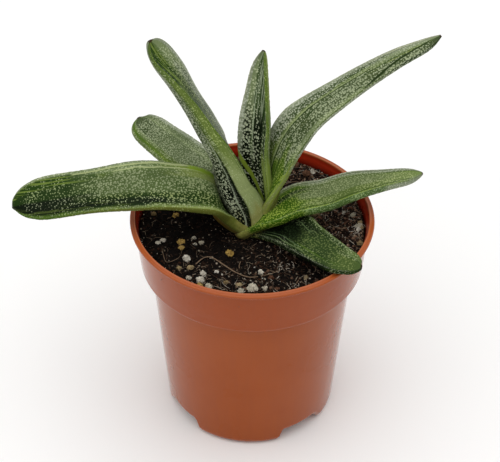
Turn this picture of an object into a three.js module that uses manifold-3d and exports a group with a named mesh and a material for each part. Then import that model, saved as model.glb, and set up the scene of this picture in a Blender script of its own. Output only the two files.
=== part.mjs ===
// A young gasteria with seven thick, tongue-shaped leaves, standing in a 12 cm plastic nursery pot.
// Millimetres, +Z up. The origin is on the ground, at the middle of the pot's flat floor.

import * as THREE from 'three';
import { mergeVertices } from 'three/addons/utils/BufferGeometryUtils.js';
import Module from 'manifold-3d';

const wasm = await Module();
wasm.setup();

// ---------------------------------------------------------------- driving dimensions

const CLEARANCE = 0.3; // between pieces that touch on the real plant

// Pot: thin moulded walls, a skirt below the rolled lip and four feet.
const POT_HEIGHT = 118;
const LIP_RADIUS = 60;
const LIP_WIDTH = 2.6;
const LIP_DROP = 2.4; // height of the lip's outer face
const SKIRT_DEPTH = 27; // from the top of the lip to the skirt's lower edge
const SKIRT_TOP_RADIUS = 57.8;
const SKIRT_FOOT_RADIUS = 55.4;
const BODY_TOP_RADIUS = 50.7;
const BASE_RADIUS = 43.1; // where the slope of the side meets the ground
const BASE_ROUNDING = 3.5; // height over which the side curves in to the feet
const WALL = 1.6;
const FLOOR = 2.2;
const POT_SIDES = 48;

// Underside: four feet with a raised pocket and a drain hole between each pair.
const POCKET_COUNT = 4;
const POCKET_ANGLE = 30; // degrees
const FIRST_POCKET_ANGLE = 306.5; // degrees from +X, counter-clockwise
const POCKET_HEIGHT = 6.5;
const POCKET_INNER_RADIUS = 31;
const DRAIN_RADIUS = 3.5;

// Potting soil.
const SOIL_TOP = 109;
const SOIL_RELIEF = 0.9; // height of the lumps in its surface
const SOIL_CALM_RADIUS = 17; // the surface is smoother round the plant
const SOIL_RINGS = 11;
const SOIL_SIDES = 48;
const GRAIN_COUNT = 26;
const GRAIN_MIN = 1.1;
const GRAIN_MAX = 2.1;
const GRAIN_SEED = 11;

// Perlite lumps that stand out of the soil: [x, y, radius].
const PERLITE_LUMPS = [
  [-31, -17, 2.4],
  [-34.5, -5.5, 2.2],
  [-25, -34.5, 2.4],
  [-22, -41, 2.1],
  [0.5, -44.5, 3],
  [-6, -42, 2.2],
  [5, -33, 2.2],
  [-10.5, -12.5, 2.2],
  [27, -39, 1.8],
  [46, 2.5, 2.6],
  [43, 9.5, 2],
  [30, 14, 2],
  [27, 46, 2.2],
  [-44, -3, 1.9],
];

// Stem: the short stump that the leaves grow from, with its root end in a plain hole in the soil.
const STEM_X = -2;
const STEM_Y = 1;
const STEM_RADIUS = 6.5;
const STEM_ROOT_RADIUS = 4;
const STEM_BOTTOM = 92;
const STEM_TOP = 111.5;
const STEM_SIDES = 20;

// Leaf section: straight-sided tongue with blunt margins and a keel below.
const FACE_STEPS = 6; // across the upper face, and across the lower one
const MARGIN_STEPS = 3; // round each margin
const MARGIN_BULGE = 0.28; // how far a margin stands out, as a share of its thickness
const KEEL_INSET = 0.97;
const TIP_START = 0.93; // where the leaf begins to close, as a share of its length
const TIP_CLOSE = 0.16; // share of the thickness left at the very tip
const THINNEST = 0.5;
const RINGS_PER_SPAN = 2;
const MARGIN_TAPER = 0.25; // loss of margin thickness from foot to tip
const KEEL_TAPER = 0.4;
const FOOT_CURVE = 1.5; // how quickly the margins thin out above the foot

// Leaves, in the order in which their feet keep their full form: each is cut back where it meets
// the ones before it. azimuth: direction that the leaf grows in, from +X, counter-clockwise.
// foot: share of the length over which the margins thin out.
// margins: thickness at the foot and in the blade, [left, right] looking outwards.
// keel: depth at the foot and in the blade, and its place across the leaf, from -1 (right) to 1.
// crown: rise of the upper face's middle, negative for a groove.
// stations: [x, y, z, half width, roll in degrees] of the leaf's middle line, foot to tip.
const LEAVES = [
  {
    name: 'leaf_centre',
    azimuth: 90,
    foot: 0.5,
    margins: { foot: [3, 5], blade: [2.8, 4.5] },
    keel: { foot: 4.5, blade: 4.5, place: -0.1 },
    crown: -1.6,
    stations: [
      [3, 1.5, 113.5, 6, -27],
      [3.5, 4.5, 123, 6.5, -38],
      [2, 6.5, 136, 7, -38],
      [0, 9, 150, 7.5, -33],
      [0.5, 12.5, 164.5, 7.5, -32],
      [1.5, 16.5, 179, 5.5, -35],
      [2.5, 20.5, 190, 3.5, -34],
      [4.5, 23.5, 198.5, 0.5, -33],
    ],
  },
  {
    name: 'leaf_upper_right',
    azimuth: 24,
    foot: 0.5,
    margins: { foot: [3.4, 4], blade: [2.8, 2.8] },
    keel: { foot: 1.5, blade: 5.5, place: -0.3 },
    crown: 0.3,
    stations: [
      [5, -2, 114, 4, -60],
      [8.5, 1.5, 122.5, 6, -50],
      [10, 5.5, 138.5, 8.5, 3],
      [13.5, 7, 152, 9.5, 18],
      [19.5, 8.5, 164, 10, 19],
      [27.5, 10.5, 172.5, 9.5, 9],
      [38.5, 15.5, 178.5, 8, 9],
      [53, 22, 185.5, 6.5, 9],
      [68, 28.5, 191.5, 5, 10],
      [81.5, 34.5, 195, 3, 15],
      [89, 37.5, 198.5, 0.5, 18],
    ],
  },
  {
    name: 'leaf_left',
    azimuth: 180,
    foot: 0.5,
    margins: { foot: [7, 3.3], blade: [3, 3] },
    keel: { foot: 1.5, blade: 5.5, place: 0.35 },
    crown: 1,
    stations: [
      [2, -1, 112, 6, 35],
      [-7.5, -1.5, 113.5, 7, 35],
      [-15, -1.5, 121, 8, 26],
      [-20.5, -2, 133, 13, -1],
      [-40, -4, 138.5, 12.5, -18],
      [-56.5, -4, 138.5, 12.5, -25],
      [-77.5, -4, 135, 11, -27],
      [-99.5, -4, 130.5, 10.5, -32],
      [-109, -4, 128, 8, -34],
      [-114, -4, 126, 4.5, -34],
      [-116.5, -4, 124, 0.5, -34],
    ],
  },
  {
    name: 'leaf_tall',
    azimuth: 148,
    foot: 1,
    margins: { foot: [14, 6], blade: [3, 2.4] },
    keel: { foot: 7, blade: 7, place: 0.5 },
    crown: 0.5,
    stations: [
      [-1.5, 5.8, 112, 11, 62],
      [-5, 6, 119, 11.5, 78],
      [-11, 7.8, 130.4, 12, 78],
      [-13.5, 12, 148, 12, 48],
      [-20.5, 17, 160, 11.5, 38],
      [-28.5, 21.5, 172, 10.5, 35],
      [-35.5, 24.5, 182.5, 10, 24],
      [-42.5, 28.5, 190, 8, 8],
      [-47, 30, 196, 4.5, -8],
      [-49, 29.5, 199.5, 0.5, -20],
    ],
  },
  {
    name: 'leaf_right',
    azimuth: 12,
    foot: 0.5,
    margins: { foot: [3, 4], blade: [2.8, 4.4] },
    keel: { foot: 5, blade: 5, place: -0.3 },
    crown: 0.4,
    stations: [
      [-8.3, -7, 111.3, 2.5, -4],
      [2.7, -7.1, 118.5, 3.2, 0],
      [10.2, -4.8, 122.5, 6.5, 5],
      [21.5, 1, 126.5, 9.5, 4],
      [35.5, 4, 128, 9.5, 2],
      [49, 7, 131.5, 8.5, 2],
      [64.5, 10.5, 132.5, 6, 1],
      [76, 13.5, 132.5, 4, 4],
      [83.5, 15, 133, 0.5, 7],
    ],
  },
  {
    name: 'leaf_back_left',
    azimuth: 134,
    foot: 0.5,
    margins: { foot: [3, 3], blade: [3, 3] },
    keel: { foot: 5, blade: 5, place: 0.2 },
    crown: 0.8,
    stations: [
      [-3.5, 2.5, 111, 7, -2],
      [-11.5, 10.5, 118, 9, -8],
      [-23.5, 23.5, 125.5, 10.5, -13],
      [-37, 37.5, 127.5, 10, -16],
      [-47.5, 48.5, 128.5, 9.5, -11],
      [-53.5, 54, 130, 8.5, -13],
      [-57.5, 58.5, 131, 5.5, -19],
      [-59, 60, 132.5, 0.5, -25],
    ],
  },
  {
    name: 'leaf_lower_right',
    azimuth: -30,
    foot: 0.5,
    margins: { foot: [3, 2.5], blade: [2.8, 2.8] },
    keel: { foot: 4, blade: 4, place: -0.2 },
    crown: 0.3,
    stations: [
      [-2, -2, 110.5, 6, 2],
      [7.5, -3.5, 113.5, 8.5, 8],
      [18, -9, 117, 10.5, 12],
      [24, -18.5, 119.5, 10, 9],
      [31.5, -27.5, 120.5, 9.5, 6],
      [40, -36, 121, 8, 8],
      [46.5, -41, 122, 6, 9],
      [50, -43, 122.5, 3.5, 10],
      [51.5, -43.5, 123, 0.5, 11],
    ],
  },
];

// ---------------------------------------------------------------- materials

const terracottaPlastic = new THREE.MeshStandardMaterial({ color: 0x9c5433, roughness: 0.45 });
const pottingSoil = new THREE.MeshStandardMaterial({ color: 0x1e1510, roughness: 1 });
const stemTissue = new THREE.MeshStandardMaterial({ color: 0x7d7a45, roughness: 0.7 });
const leafSkin = new THREE.MeshStandardMaterial({ color: 0x47603a, roughness: 0.5 });

// ---------------------------------------------------------------- solids and meshes

function toSolid(geometry) {
  const bare = geometry.index ? geometry.toNonIndexed() : geometry.clone();
  bare.deleteAttribute('normal');
  bare.deleteAttribute('uv');
  const merged = mergeVertices(bare, 1e-4);
  const mesh = new wasm.Mesh({
    numProp: 3,
    vertProperties: new Float32Array(merged.attributes.position.array),
    triVerts: new Uint32Array(merged.index.array),
  });
  return new wasm.Manifold(mesh);
}

function toMesh(name, solid, material) {
  const { vertProperties, triVerts } = solid.getMesh();
  const geometry = new THREE.BufferGeometry();
  geometry.setAttribute('position', new THREE.BufferAttribute(vertProperties, 3));
  geometry.setIndex(new THREE.BufferAttribute(triVerts, 1));
  geometry.computeVertexNormals();
  const mesh = new THREE.Mesh(geometry, material);
  mesh.name = name;
  return mesh;
}

// A closed profile of [radius, height] points, turned round the Z axis.
function turned(profile, sides) {
  const points = profile.map(([radius, height]) => new THREE.Vector2(radius, height));
  const geometry = new THREE.LatheGeometry(points, sides);
  geometry.rotateX(Math.PI / 2);
  return toSolid(geometry);
}

function cylinder(radius, bottom, top, x, y, sides) {
  const geometry = new THREE.CylinderGeometry(radius, radius, top - bottom, sides);
  geometry.rotateX(Math.PI / 2);
  geometry.translate(x, y, (top + bottom) / 2);
  return toSolid(geometry);
}

// A block between two radii and two heights, centred on an angle in degrees.
function sector(innerRadius, outerRadius, bottom, top, middleAngle, spreadAngle) {
  const from = THREE.MathUtils.degToRad(middleAngle - spreadAngle / 2);
  const to = THREE.MathUtils.degToRad(middleAngle + spreadAngle / 2);
  const shape = new THREE.Shape();
  shape.absarc(0, 0, outerRadius, from, to, false);
  shape.absarc(0, 0, innerRadius, to, from, true);
  shape.closePath();
  const geometry = new THREE.ExtrudeGeometry(shape, {
    depth: top - bottom,
    bevelEnabled: false,
    curveSegments: 8,
  });
  geometry.translate(0, 0, bottom);
  return toSolid(geometry);
}

// A repeatable stream of numbers between 0 and 1.
function randomStream(seed) {
  let state = seed;
  return () => {
    state = (state * 1664525 + 1013904223) % 4294967296;
    return state / 4294967296;
  };
}

function largestPart(solid) {
  const parts = solid.decompose();
  return parts.reduce((best, part) => (part.volume() > best.volume() ? part : best));
}

// ---------------------------------------------------------------- pot

const skirtFoot = POT_HEIGHT - SKIRT_DEPTH;

function outerBodyRadius(height) {
  return BASE_RADIUS + ((BODY_TOP_RADIUS - BASE_RADIUS) * height) / skirtFoot;
}

const pocketAngles = Array.from(
  { length: POCKET_COUNT },
  (_, pocket) => FIRST_POCKET_ANGLE + (pocket * 360) / POCKET_COUNT,
);

// The block inside the pot that a pocket is hollowed from, made fatter by grow.
function pocketRoof(angle, outerRadius, grow) {
  const innerRadius = POCKET_INNER_RADIUS - WALL - grow;
  const side = THREE.MathUtils.radToDeg((2 * (WALL + grow)) / innerRadius);
  const top = POCKET_HEIGHT + FLOOR + grow;
  return sector(innerRadius, outerRadius, FLOOR / 2, top, angle, POCKET_ANGLE + side);
}

function makePot() {
  const lipBottom = POT_HEIGHT - LIP_DROP;
  const lipInner = LIP_RADIUS - LIP_WIDTH;
  let pot = turned(
    [
      [0, 0],
      [BASE_RADIUS - 1.7, 0],
      [BASE_RADIUS - 0.4, 1.2],
      [outerBodyRadius(BASE_ROUNDING), BASE_ROUNDING],
      [BODY_TOP_RADIUS, skirtFoot],
      [SKIRT_FOOT_RADIUS - 0.7, skirtFoot],
      [SKIRT_FOOT_RADIUS, skirtFoot + 0.7],
      [SKIRT_TOP_RADIUS, lipBottom],
      [LIP_RADIUS - 0.6, lipBottom],
      [LIP_RADIUS, lipBottom + 0.6],
      [LIP_RADIUS, POT_HEIGHT - 0.9],
      [LIP_RADIUS - 0.7, POT_HEIGHT - 0.2],
      [lipInner + 0.9, POT_HEIGHT],
      [lipInner + 0.2, POT_HEIGHT - 0.3],
      [lipInner, POT_HEIGHT - 1],
      [SKIRT_TOP_RADIUS - WALL, lipBottom - WALL],
      [SKIRT_FOOT_RADIUS - WALL, skirtFoot + WALL],
      [BODY_TOP_RADIUS - WALL, skirtFoot + WALL],
      [outerBodyRadius(FLOOR) - WALL, FLOOR],
      [0, FLOOR],
    ],
    POT_SIDES,
  );
  const drainDistance = (POCKET_INNER_RADIUS + BASE_RADIUS - WALL) / 2;
  for (const angle of pocketAngles) {
    const turn = THREE.MathUtils.degToRad(angle);
    const roof = pocketRoof(angle, BASE_RADIUS - WALL / 2, 0);
    const hollow = sector(POCKET_INNER_RADIUS, LIP_RADIUS, -1, POCKET_HEIGHT, angle, POCKET_ANGLE);
    const drain = cylinder(
      DRAIN_RADIUS,
      -1,
      POCKET_HEIGHT + 2 * FLOOR,
      drainDistance * Math.cos(turn),
      drainDistance * Math.sin(turn),
      16,
    );
    pot = pot.add(roof).subtract(hollow).subtract(drain);
  }
  return pot;
}

// ---------------------------------------------------------------- soil

// Lumps from a few crossing waves, calmer round the plant and at the wall.
function soilHeight(x, y, edgeRadius) {
  const lumps =
    Math.sin(x * 0.31 + 1.3) * Math.cos(y * 0.27 + 0.4) +
    0.6 * Math.sin(x * 0.71 - y * 0.53) +
    0.4 * Math.cos(x * 0.43 + y * 0.97 + 2);
  const fromStem = Math.hypot(x - STEM_X, y - STEM_Y);
  const calm = THREE.MathUtils.smoothstep(fromStem, SOIL_CALM_RADIUS * 0.6, SOIL_CALM_RADIUS);
  const edge = 1 - THREE.MathUtils.smoothstep(Math.hypot(x, y), edgeRadius - 5, edgeRadius);
  return SOIL_TOP + SOIL_RELIEF * lumps * calm * edge;
}

function makeSoil() {
  const bottom = FLOOR + CLEARANCE;
  const gap = WALL + CLEARANCE;
  const bottomRadius = outerBodyRadius(bottom) - gap;
  const ledgeRadius = BODY_TOP_RADIUS - gap;
  const ledge = skirtFoot + WALL + CLEARANCE;
  const skirtInner = SKIRT_FOOT_RADIUS - gap;
  const wallLean = (SKIRT_TOP_RADIUS - SKIRT_FOOT_RADIUS) / (SKIRT_DEPTH - LIP_DROP);
  const topRadius = skirtInner + wallLean * (SOIL_TOP - ledge);
  const profile = [
    [0, bottom],
    [bottomRadius, bottom],
    [ledgeRadius, ledge],
    [skirtInner, ledge],
    [topRadius, SOIL_TOP],
  ];
  for (let ring = SOIL_RINGS - 1; ring > 0; ring -= 1) {
    profile.push([(topRadius * ring) / SOIL_RINGS, SOIL_TOP]);
  }
  profile.push([0, SOIL_TOP]);
  const points = profile.map(([radius, height]) => new THREE.Vector2(radius, height));
  const geometry = new THREE.LatheGeometry(points, SOIL_SIDES);
  geometry.rotateX(Math.PI / 2);
  const position = geometry.attributes.position;
  for (let i = 0; i < position.count; i += 1) {
    if (position.getZ(i) > SOIL_TOP - 0.01) {
      position.setZ(i, soilHeight(position.getX(i), position.getY(i), topRadius));
    }
  }
  let soil = toSolid(geometry);
  for (const angle of pocketAngles) {
    soil = soil.subtract(pocketRoof(angle, LIP_RADIUS, CLEARANCE));
  }
  const grains = placeGrains(topRadius);
  for (const grain of grains) {
    soil = soil.add(grain);
  }
  const stemHole = cylinder(
    STEM_RADIUS + CLEARANCE,
    STEM_BOTTOM - CLEARANCE,
    SOIL_TOP + 2 * GRAIN_MAX,
    STEM_X,
    STEM_Y,
    STEM_SIDES,
  );
  return largestPart(soil.subtract(stemHole));
}

// One blunt, squashed lump sunk half into the surface.
function grainSolid(x, y, radius, edgeRadius, turn) {
  const geometry = new THREE.IcosahedronGeometry(radius, 0);
  geometry.scale(1, 0.8, 0.7);
  geometry.rotateX(turn);
  geometry.rotateZ(3 * turn);
  geometry.translate(x, y, soilHeight(x, y, edgeRadius) + 0.1 * radius);
  return toSolid(geometry);
}

function placeGrains(edgeRadius) {
  const random = randomStream(GRAIN_SEED);
  const grains = PERLITE_LUMPS.map(([x, y, radius], index) =>
    grainSolid(x, y, radius, edgeRadius, index),
  );
  while (grains.length < PERLITE_LUMPS.length + GRAIN_COUNT) {
    const distance = edgeRadius * Math.sqrt(random());
    const angle = 2 * Math.PI * random();
    const radius = GRAIN_MIN + (GRAIN_MAX - GRAIN_MIN) * random() ** 2;
    const x = distance * Math.cos(angle);
    const y = distance * Math.sin(angle);
    const fromStem = Math.hypot(x - STEM_X, y - STEM_Y);
    if (distance + radius < edgeRadius && fromStem > SOIL_CALM_RADIUS) {
      grains.push(grainSolid(x, y, radius, edgeRadius, angle));
    }
  }
  return grains;
}

// ---------------------------------------------------------------- stem

function makeStem(grow = 0) {
  const radius = STEM_RADIUS + grow;
  const stem = turned(
    [
      [0, STEM_BOTTOM - grow],
      [STEM_ROOT_RADIUS + grow, STEM_BOTTOM - grow],
      [radius, SOIL_TOP - 8],
      [radius, STEM_TOP - 1.5],
      [radius - 1.5, STEM_TOP + grow],
      [0, STEM_TOP + grow],
    ],
    STEM_SIDES,
  );
  return stem.translate(STEM_X, STEM_Y, 0);
}

// ---------------------------------------------------------------- leaves

// The leaf's stations at any place along it, on a Catmull-Rom curve: [x, y, z, half width, roll].
function stationAt(stations, place) {
  const last = stations.length - 1;
  const span = Math.min(Math.floor(place), last - 1);
  const t = place - span;
  const mirrored = (end, inner) => end.map((value, i) => 2 * value - inner[i]);
  const before = span > 0 ? stations[span - 1] : mirrored(stations[0], stations[1]);
  const after =
    span + 2 <= last ? stations[span + 2] : mirrored(stations[last], stations[last - 1]);
  return stations[span].map((start, i) => {
    const end = stations[span + 1][i];
    const linear = end - before[i];
    const square = 2 * before[i] - 5 * start + 4 * end - after[i];
    const cube = 3 * start - before[i] - 3 * end + after[i];
    return 0.5 * (2 * start + linear * t + square * t * t + cube * t * t * t);
  });
}

// Points round the leaf's section, as [across, up] pairs, from the right margin over the top.
function sectionPoints(halfWidth, crown, leftMargin, rightMargin, keel) {
  const points = [];
  for (let i = 0; i <= FACE_STEPS; i += 1) {
    const across = -1 + (2 * i) / FACE_STEPS;
    points.push([across * halfWidth, crown * (1 - across * across)]);
  }
  for (let i = 1; i < MARGIN_STEPS; i += 1) {
    const angle = (Math.PI * i) / MARGIN_STEPS;
    const bulge = leftMargin * MARGIN_BULGE * Math.sin(angle);
    points.push([halfWidth + bulge, (-leftMargin / 2) * (1 - Math.cos(angle))]);
  }
  for (let i = 0; i <= FACE_STEPS; i += 1) {
    const across = 1 - (2 * i) / FACE_STEPS;
    const margin = (leftMargin * (1 + across)) / 2 + (rightMargin * (1 - across)) / 2;
    const share =
      across > keel.place
        ? (1 - across) / (1 - keel.place)
        : (1 + across) / (1 + keel.place);
    const depth = 0.8 * keel.depth * Math.sin((Math.PI / 2) * Math.min(share, 1)) ** 1.1;
    points.push([across * halfWidth * KEEL_INSET, -margin - depth]);
  }
  for (let i = 1; i < MARGIN_STEPS; i += 1) {
    const angle = (Math.PI * i) / MARGIN_STEPS;
    const bulge = rightMargin * MARGIN_BULGE * Math.sin(angle);
    points.push([-halfWidth - bulge, (-rightMargin / 2) * (1 + Math.cos(angle))]);
  }
  return points;
}

// A leaf as a loft of sections along its middle line. grow makes it fatter all round.
function makeLeaf(leaf, grow = 0) {
  const { stations, margins } = leaf;
  const ringCount = (stations.length - 1) * RINGS_PER_SPAN + 1;
  const rings = Array.from({ length: ringCount }, (_, i) => stationAt(stations, i / RINGS_PER_SPAN));
  const middle = rings.map(([x, y, z]) => new THREE.Vector3(x, y, z));
  const travelled = [0];
  for (let i = 1; i < ringCount; i += 1) {
    travelled.push(travelled[i - 1] + middle[i].distanceTo(middle[i - 1]));
  }
  const turn = THREE.MathUtils.degToRad(leaf.azimuth);
  const leftward = new THREE.Vector3(-Math.sin(turn), Math.cos(turn), 0);
  const vertices = [];
  let sides = 0;
  rings.forEach(([, , , width, rollDegrees], i) => {
    const along = travelled[i] / travelled[ringCount - 1];
    const past = Math.max((along - TIP_START) / (1 - TIP_START), 0);
    const close = Math.max(Math.sqrt(1 - Math.min(past * past, 1)), TIP_CLOSE);
    const footShare = Math.max(1 - along / leaf.foot, 0) ** FOOT_CURVE;
    const marginAt = (side) => {
      const blade = margins.blade[side];
      const thick = blade + (margins.foot[side] - blade) * footShare;
      return Math.max(thick * close * (1 - MARGIN_TAPER * along), THINNEST) + 2 * grow;
    };
    const left = marginAt(0);
    const right = marginAt(1);
    const keelDepth = leaf.keel.blade + (leaf.keel.foot - leaf.keel.blade) * footShare;
    const keel = {
      depth: Math.max(keelDepth * close * (1 - KEEL_TAPER * along), 0.3),
      place: leaf.keel.place,
    };
    const crown = (leaf.crown > 0 ? leaf.crown - (leaf.crown + 1) * footShare : leaf.crown) * close;

    const ahead = middle[Math.min(i + 1, ringCount - 1)];
    const behind = middle[Math.max(i - 1, 0)];
    const tangent = ahead.clone().sub(behind).normalize();
    const level = leftward.clone().addScaledVector(tangent, -leftward.dot(tangent)).normalize();
    const upright = tangent.clone().cross(level);
    const roll = THREE.MathUtils.degToRad(rollDegrees);
    const across = level.multiplyScalar(Math.cos(roll)).addScaledVector(upright, Math.sin(roll));
    const up = tangent.clone().cross(across);

    const lift = (left + right) / 4;
    const points = sectionPoints(Math.max(width, THINNEST) + grow, crown, left, right, keel);
    sides = points.length;
    const end = i === 0 ? -grow : i === ringCount - 1 ? grow : 0;
    for (const [sideways, height] of points) {
      const vertex = middle[i].clone();
      vertex.addScaledVector(tangent, end);
      vertex.addScaledVector(across, sideways).addScaledVector(up, height + lift);
      vertices.push(vertex);
    }
  });
  return loft(vertices, ringCount, sides);
}

// Joins rings of equally many points into a closed skin, with a fan at each end.
function loft(vertices, ringCount, sides) {
  const centre = (ring) => {
    const sum = new THREE.Vector3();
    vertices.slice(ring * sides, (ring + 1) * sides).forEach((vertex) => sum.add(vertex));
    return sum.divideScalar(sides);
  };
  const points = [...vertices, centre(0), centre(ringCount - 1)];
  const footCentre = vertices.length;
  const tipCentre = vertices.length + 1;
  const triangles = [];
  for (let side = 0; side < sides; side += 1) {
    const next = (side + 1) % sides;
    for (let ring = 0; ring < ringCount - 1; ring += 1) {
      const here = ring * sides;
      const there = here + sides;
      triangles.push(here + side, there + side, here + next);
      triangles.push(here + next, there + side, there + next);
    }
    const tip = (ringCount - 1) * sides;
    triangles.push(footCentre, side, next);
    triangles.push(tipCentre, tip + next, tip + side);
  }
  const geometry = new THREE.BufferGeometry().setFromPoints(points);
  geometry.setIndex(triangles);
  return toSolid(geometry);
}

// ---------------------------------------------------------------- assembly

const pot = makePot();
const soil = makeSoil();
const stem = makeStem();

// Nothing of a leaf reaches below the soil's surface or into the stem. Each leaf is also cut back
// where its foot meets the leaves before it, which it clasps on the plant.
const ground = cylinder(STEM_RADIUS + 6, 0, SOIL_TOP + CLEARANCE, STEM_X, STEM_Y, POT_SIDES);
let taken = soil.translate(0, 0, CLEARANCE).add(ground).add(makeStem(CLEARANCE));
const leafMeshes = LEAVES.map((leaf) => {
  const solid = largestPart(makeLeaf(leaf).subtract(taken));
  taken = taken.add(makeLeaf(leaf, CLEARANCE));
  return toMesh(leaf.name, solid, leafSkin.clone());
});

const plant = new THREE.Group();
plant.add(toMesh('stem', stem, stemTissue), ...leafMeshes);

const group = new THREE.Group();
group.add(toMesh('pot', pot, terracottaPlastic), toMesh('soil', soil, pottingSoil), plant);

export default group;
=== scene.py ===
"""Looks of a young gasteria in its nursery pot: pot, soil, stem, seven leaves and a pale studio.

Tables and constants are in millimetres, in the part's own frame; Blender works in metres.
"""

import math
from functools import partial

import bpy
import numpy as np
from mathutils import Matrix, Vector, noise


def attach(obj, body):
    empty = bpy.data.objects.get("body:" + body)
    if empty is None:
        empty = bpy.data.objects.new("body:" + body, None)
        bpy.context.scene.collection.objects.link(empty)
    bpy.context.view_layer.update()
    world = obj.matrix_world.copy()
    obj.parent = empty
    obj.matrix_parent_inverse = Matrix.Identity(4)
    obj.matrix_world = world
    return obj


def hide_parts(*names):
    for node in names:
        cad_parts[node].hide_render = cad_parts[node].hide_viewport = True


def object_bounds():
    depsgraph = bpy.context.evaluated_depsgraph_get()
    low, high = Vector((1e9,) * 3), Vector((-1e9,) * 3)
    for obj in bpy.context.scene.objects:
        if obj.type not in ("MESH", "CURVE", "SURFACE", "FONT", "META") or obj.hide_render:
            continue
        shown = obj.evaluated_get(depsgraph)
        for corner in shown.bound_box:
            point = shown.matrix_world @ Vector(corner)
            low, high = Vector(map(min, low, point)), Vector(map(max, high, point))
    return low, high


bl_info = {
    "name": "Potted Gasteria",
    "version": (1, 0, 0),
    "blender": (4, 5, 0),
    "location": "View3D > Sidebar > Gasteria",
    "description": "Builds a speckled gasteria in a plastic nursery pot",
    "category": "Object",
}

MM = 0.001

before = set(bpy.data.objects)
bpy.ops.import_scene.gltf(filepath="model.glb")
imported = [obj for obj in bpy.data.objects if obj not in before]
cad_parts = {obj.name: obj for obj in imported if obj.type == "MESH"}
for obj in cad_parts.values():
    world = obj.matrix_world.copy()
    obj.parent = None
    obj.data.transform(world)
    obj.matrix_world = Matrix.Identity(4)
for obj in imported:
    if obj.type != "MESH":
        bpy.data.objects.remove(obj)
cad_low, cad_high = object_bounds()

# Pot
POT_HEIGHT = 118.0
LIP_RADIUS = 60.0
SKIRT_FOOT = 91.0
SKIRT_RISE = 24.6
SKIRT_FOOT_RADIUS = 55.4
SKIRT_TOP_RADIUS = 57.8
SKIRT_LINE = 46.5  # radius at which the skirt's outer face, drawn on down, would meet the ground
BODY_TOP_RADIUS = 50.7
BASE_RADIUS = 43.1
WALL = 1.6
FLOOR = 2.2
POCKET_INNER_RADIUS = 31.0
FIRST_POCKET = 306.5  # degrees round the pot to the middle of the first pocket
DRAIN_SIDES = 32
DRAIN_CUT = (-2.0, 14.0)  # heights from which to which the drain holes are cut

# Soil: banked up against the wall by up to BANK, most in the direction of BANK_TURN. SOIL_BELOW is
# the plug's section under its top: radius, height.
SOIL_TOP = 109.0
SOIL_EDGE_RADIUS = 55.2
BANK = 3.4
BANK_START = 38
BANK_TURN = math.radians(65)
SOIL_BELOW = [(53.2, 93.2), (48.6, 92.9), (47.5, 80), (42.6, 22), (41.6, 11), (28, 10.2), (0.01, 10)]
SOIL_SIDES = 160
LOOSE_GROUND = (40, 90)  # rings and sides of the surface that loose crumbs are scattered over
LUMP_LIFT = 0.25  # how high a lump's middle stands above the soil, as a share of its radius
ROOT_LIFT = 0.75
FULL_TURN = 6.28  # how far a crumb or fibre may lie turned round, in radians

# Stem: half section, radius and height.
STEM_X, STEM_Y = -2.0, 1.0
STEM_SIDES = 48
STEM_SECTION = [
    *((0, 92), (3.2, 92.1), (3.9, 92.6), (5.2, 97), (6.4, 101), (6.5, 106), (6.45, 109.5)),
    *((6.2, 110.6), (5.4, 111.3), (3.5, 111.5), (0, 111.5)),
]

# Perlite, stones and bark big enough to tell apart: x, y, radius.
LUMPS = {
    "perlite": [
        (-46, -12, 1.3), (-43.5, -10, 1.4), (-31.5, -23, 2.0), (-30, -37.4, 1.35),
        (-24.5, -39, 1.7), (-23.2, -34.6, 1.45), (-20.5, -44.9, 1.5), (-28.5, -8.2, 0.8),
        (-24.6, -12.2, 1.0), (-28, -12.8, 0.8), (-19.5, -23, 0.7), (0.5, -45.3, 2.45),
        (6.1, -44.9, 1.15), (-5, -46.7, 1.6), (4.3, -32.8, 1.1), (53, 0.6, 1.5), (52.4, -1.8, 1.0),
        (51.5, 1.4, 0.7), (45.5, 11, 0.8), (50, 8, 0.9), (36, 17, 0.7), (-16.7, -33, 0.9),
        (31, 43, 1.3),
    ],
    "lime_stones": [
        (-29.5, -30.5, 1.5), (-6, -41.5, 1.6), (26, -37, 1.3), (30.5, 10, 1.4), (53.4, 2.7, 1.1),
        (54, -0.8, 1.0), (52.6, -13, 1.2), (33, 10.5, 0.8), (-49, 9, 1.3), (-35, -30.5, 1.2),
        (-12.3, -41, 1.0),
    ],
    "yellow_stones": [
        (-34.6, -12, 1.9), (-34.3, -15.6, 1.5), (-24.5, -43.4, 1.5), (-11, -19.2, 1.9),
        (-38, 10, 1.6),
    ],
    "bark_chips": [
        (12, -44.5, 1.2), (27.5, 42, 2.2), (22, 47, 1.8), (9, -38, 1.2),
    ],
}

# Fine roots lying on the soil: radius, then points [x, y].
ROOTS = [
    (0.32, [(-21.5, -22.5), (-18.5, -24.5), (-13, -28.5), (-7.5, -34), (-1, -36), (7, -35), (13.5, -33.5)]),
    (0.13, [(-43.5, -17.5), (-42.5, -23.5), (-41, -27), (-37, -26), (-34.5, -21), (-34, -15)]),
    (0.2, [(-18.5, 1.5), (-13.5, -5)]),
    (0.26, [(-27, -27.5), (-23, -24), (-19, -22.5)]),
    (0.2, [(-5.5, -25.5), (-6, -30), (-3, -34.5)]),
    (0.22, [(23, -35.5), (21, -40), (19, -43)]),
    (0.22, [(38.5, 3), (43.5, -2.5), (48, 0.5)]),
    (0.2, [(14, 33), (20, 37), (27, 35)]),
]

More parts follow.
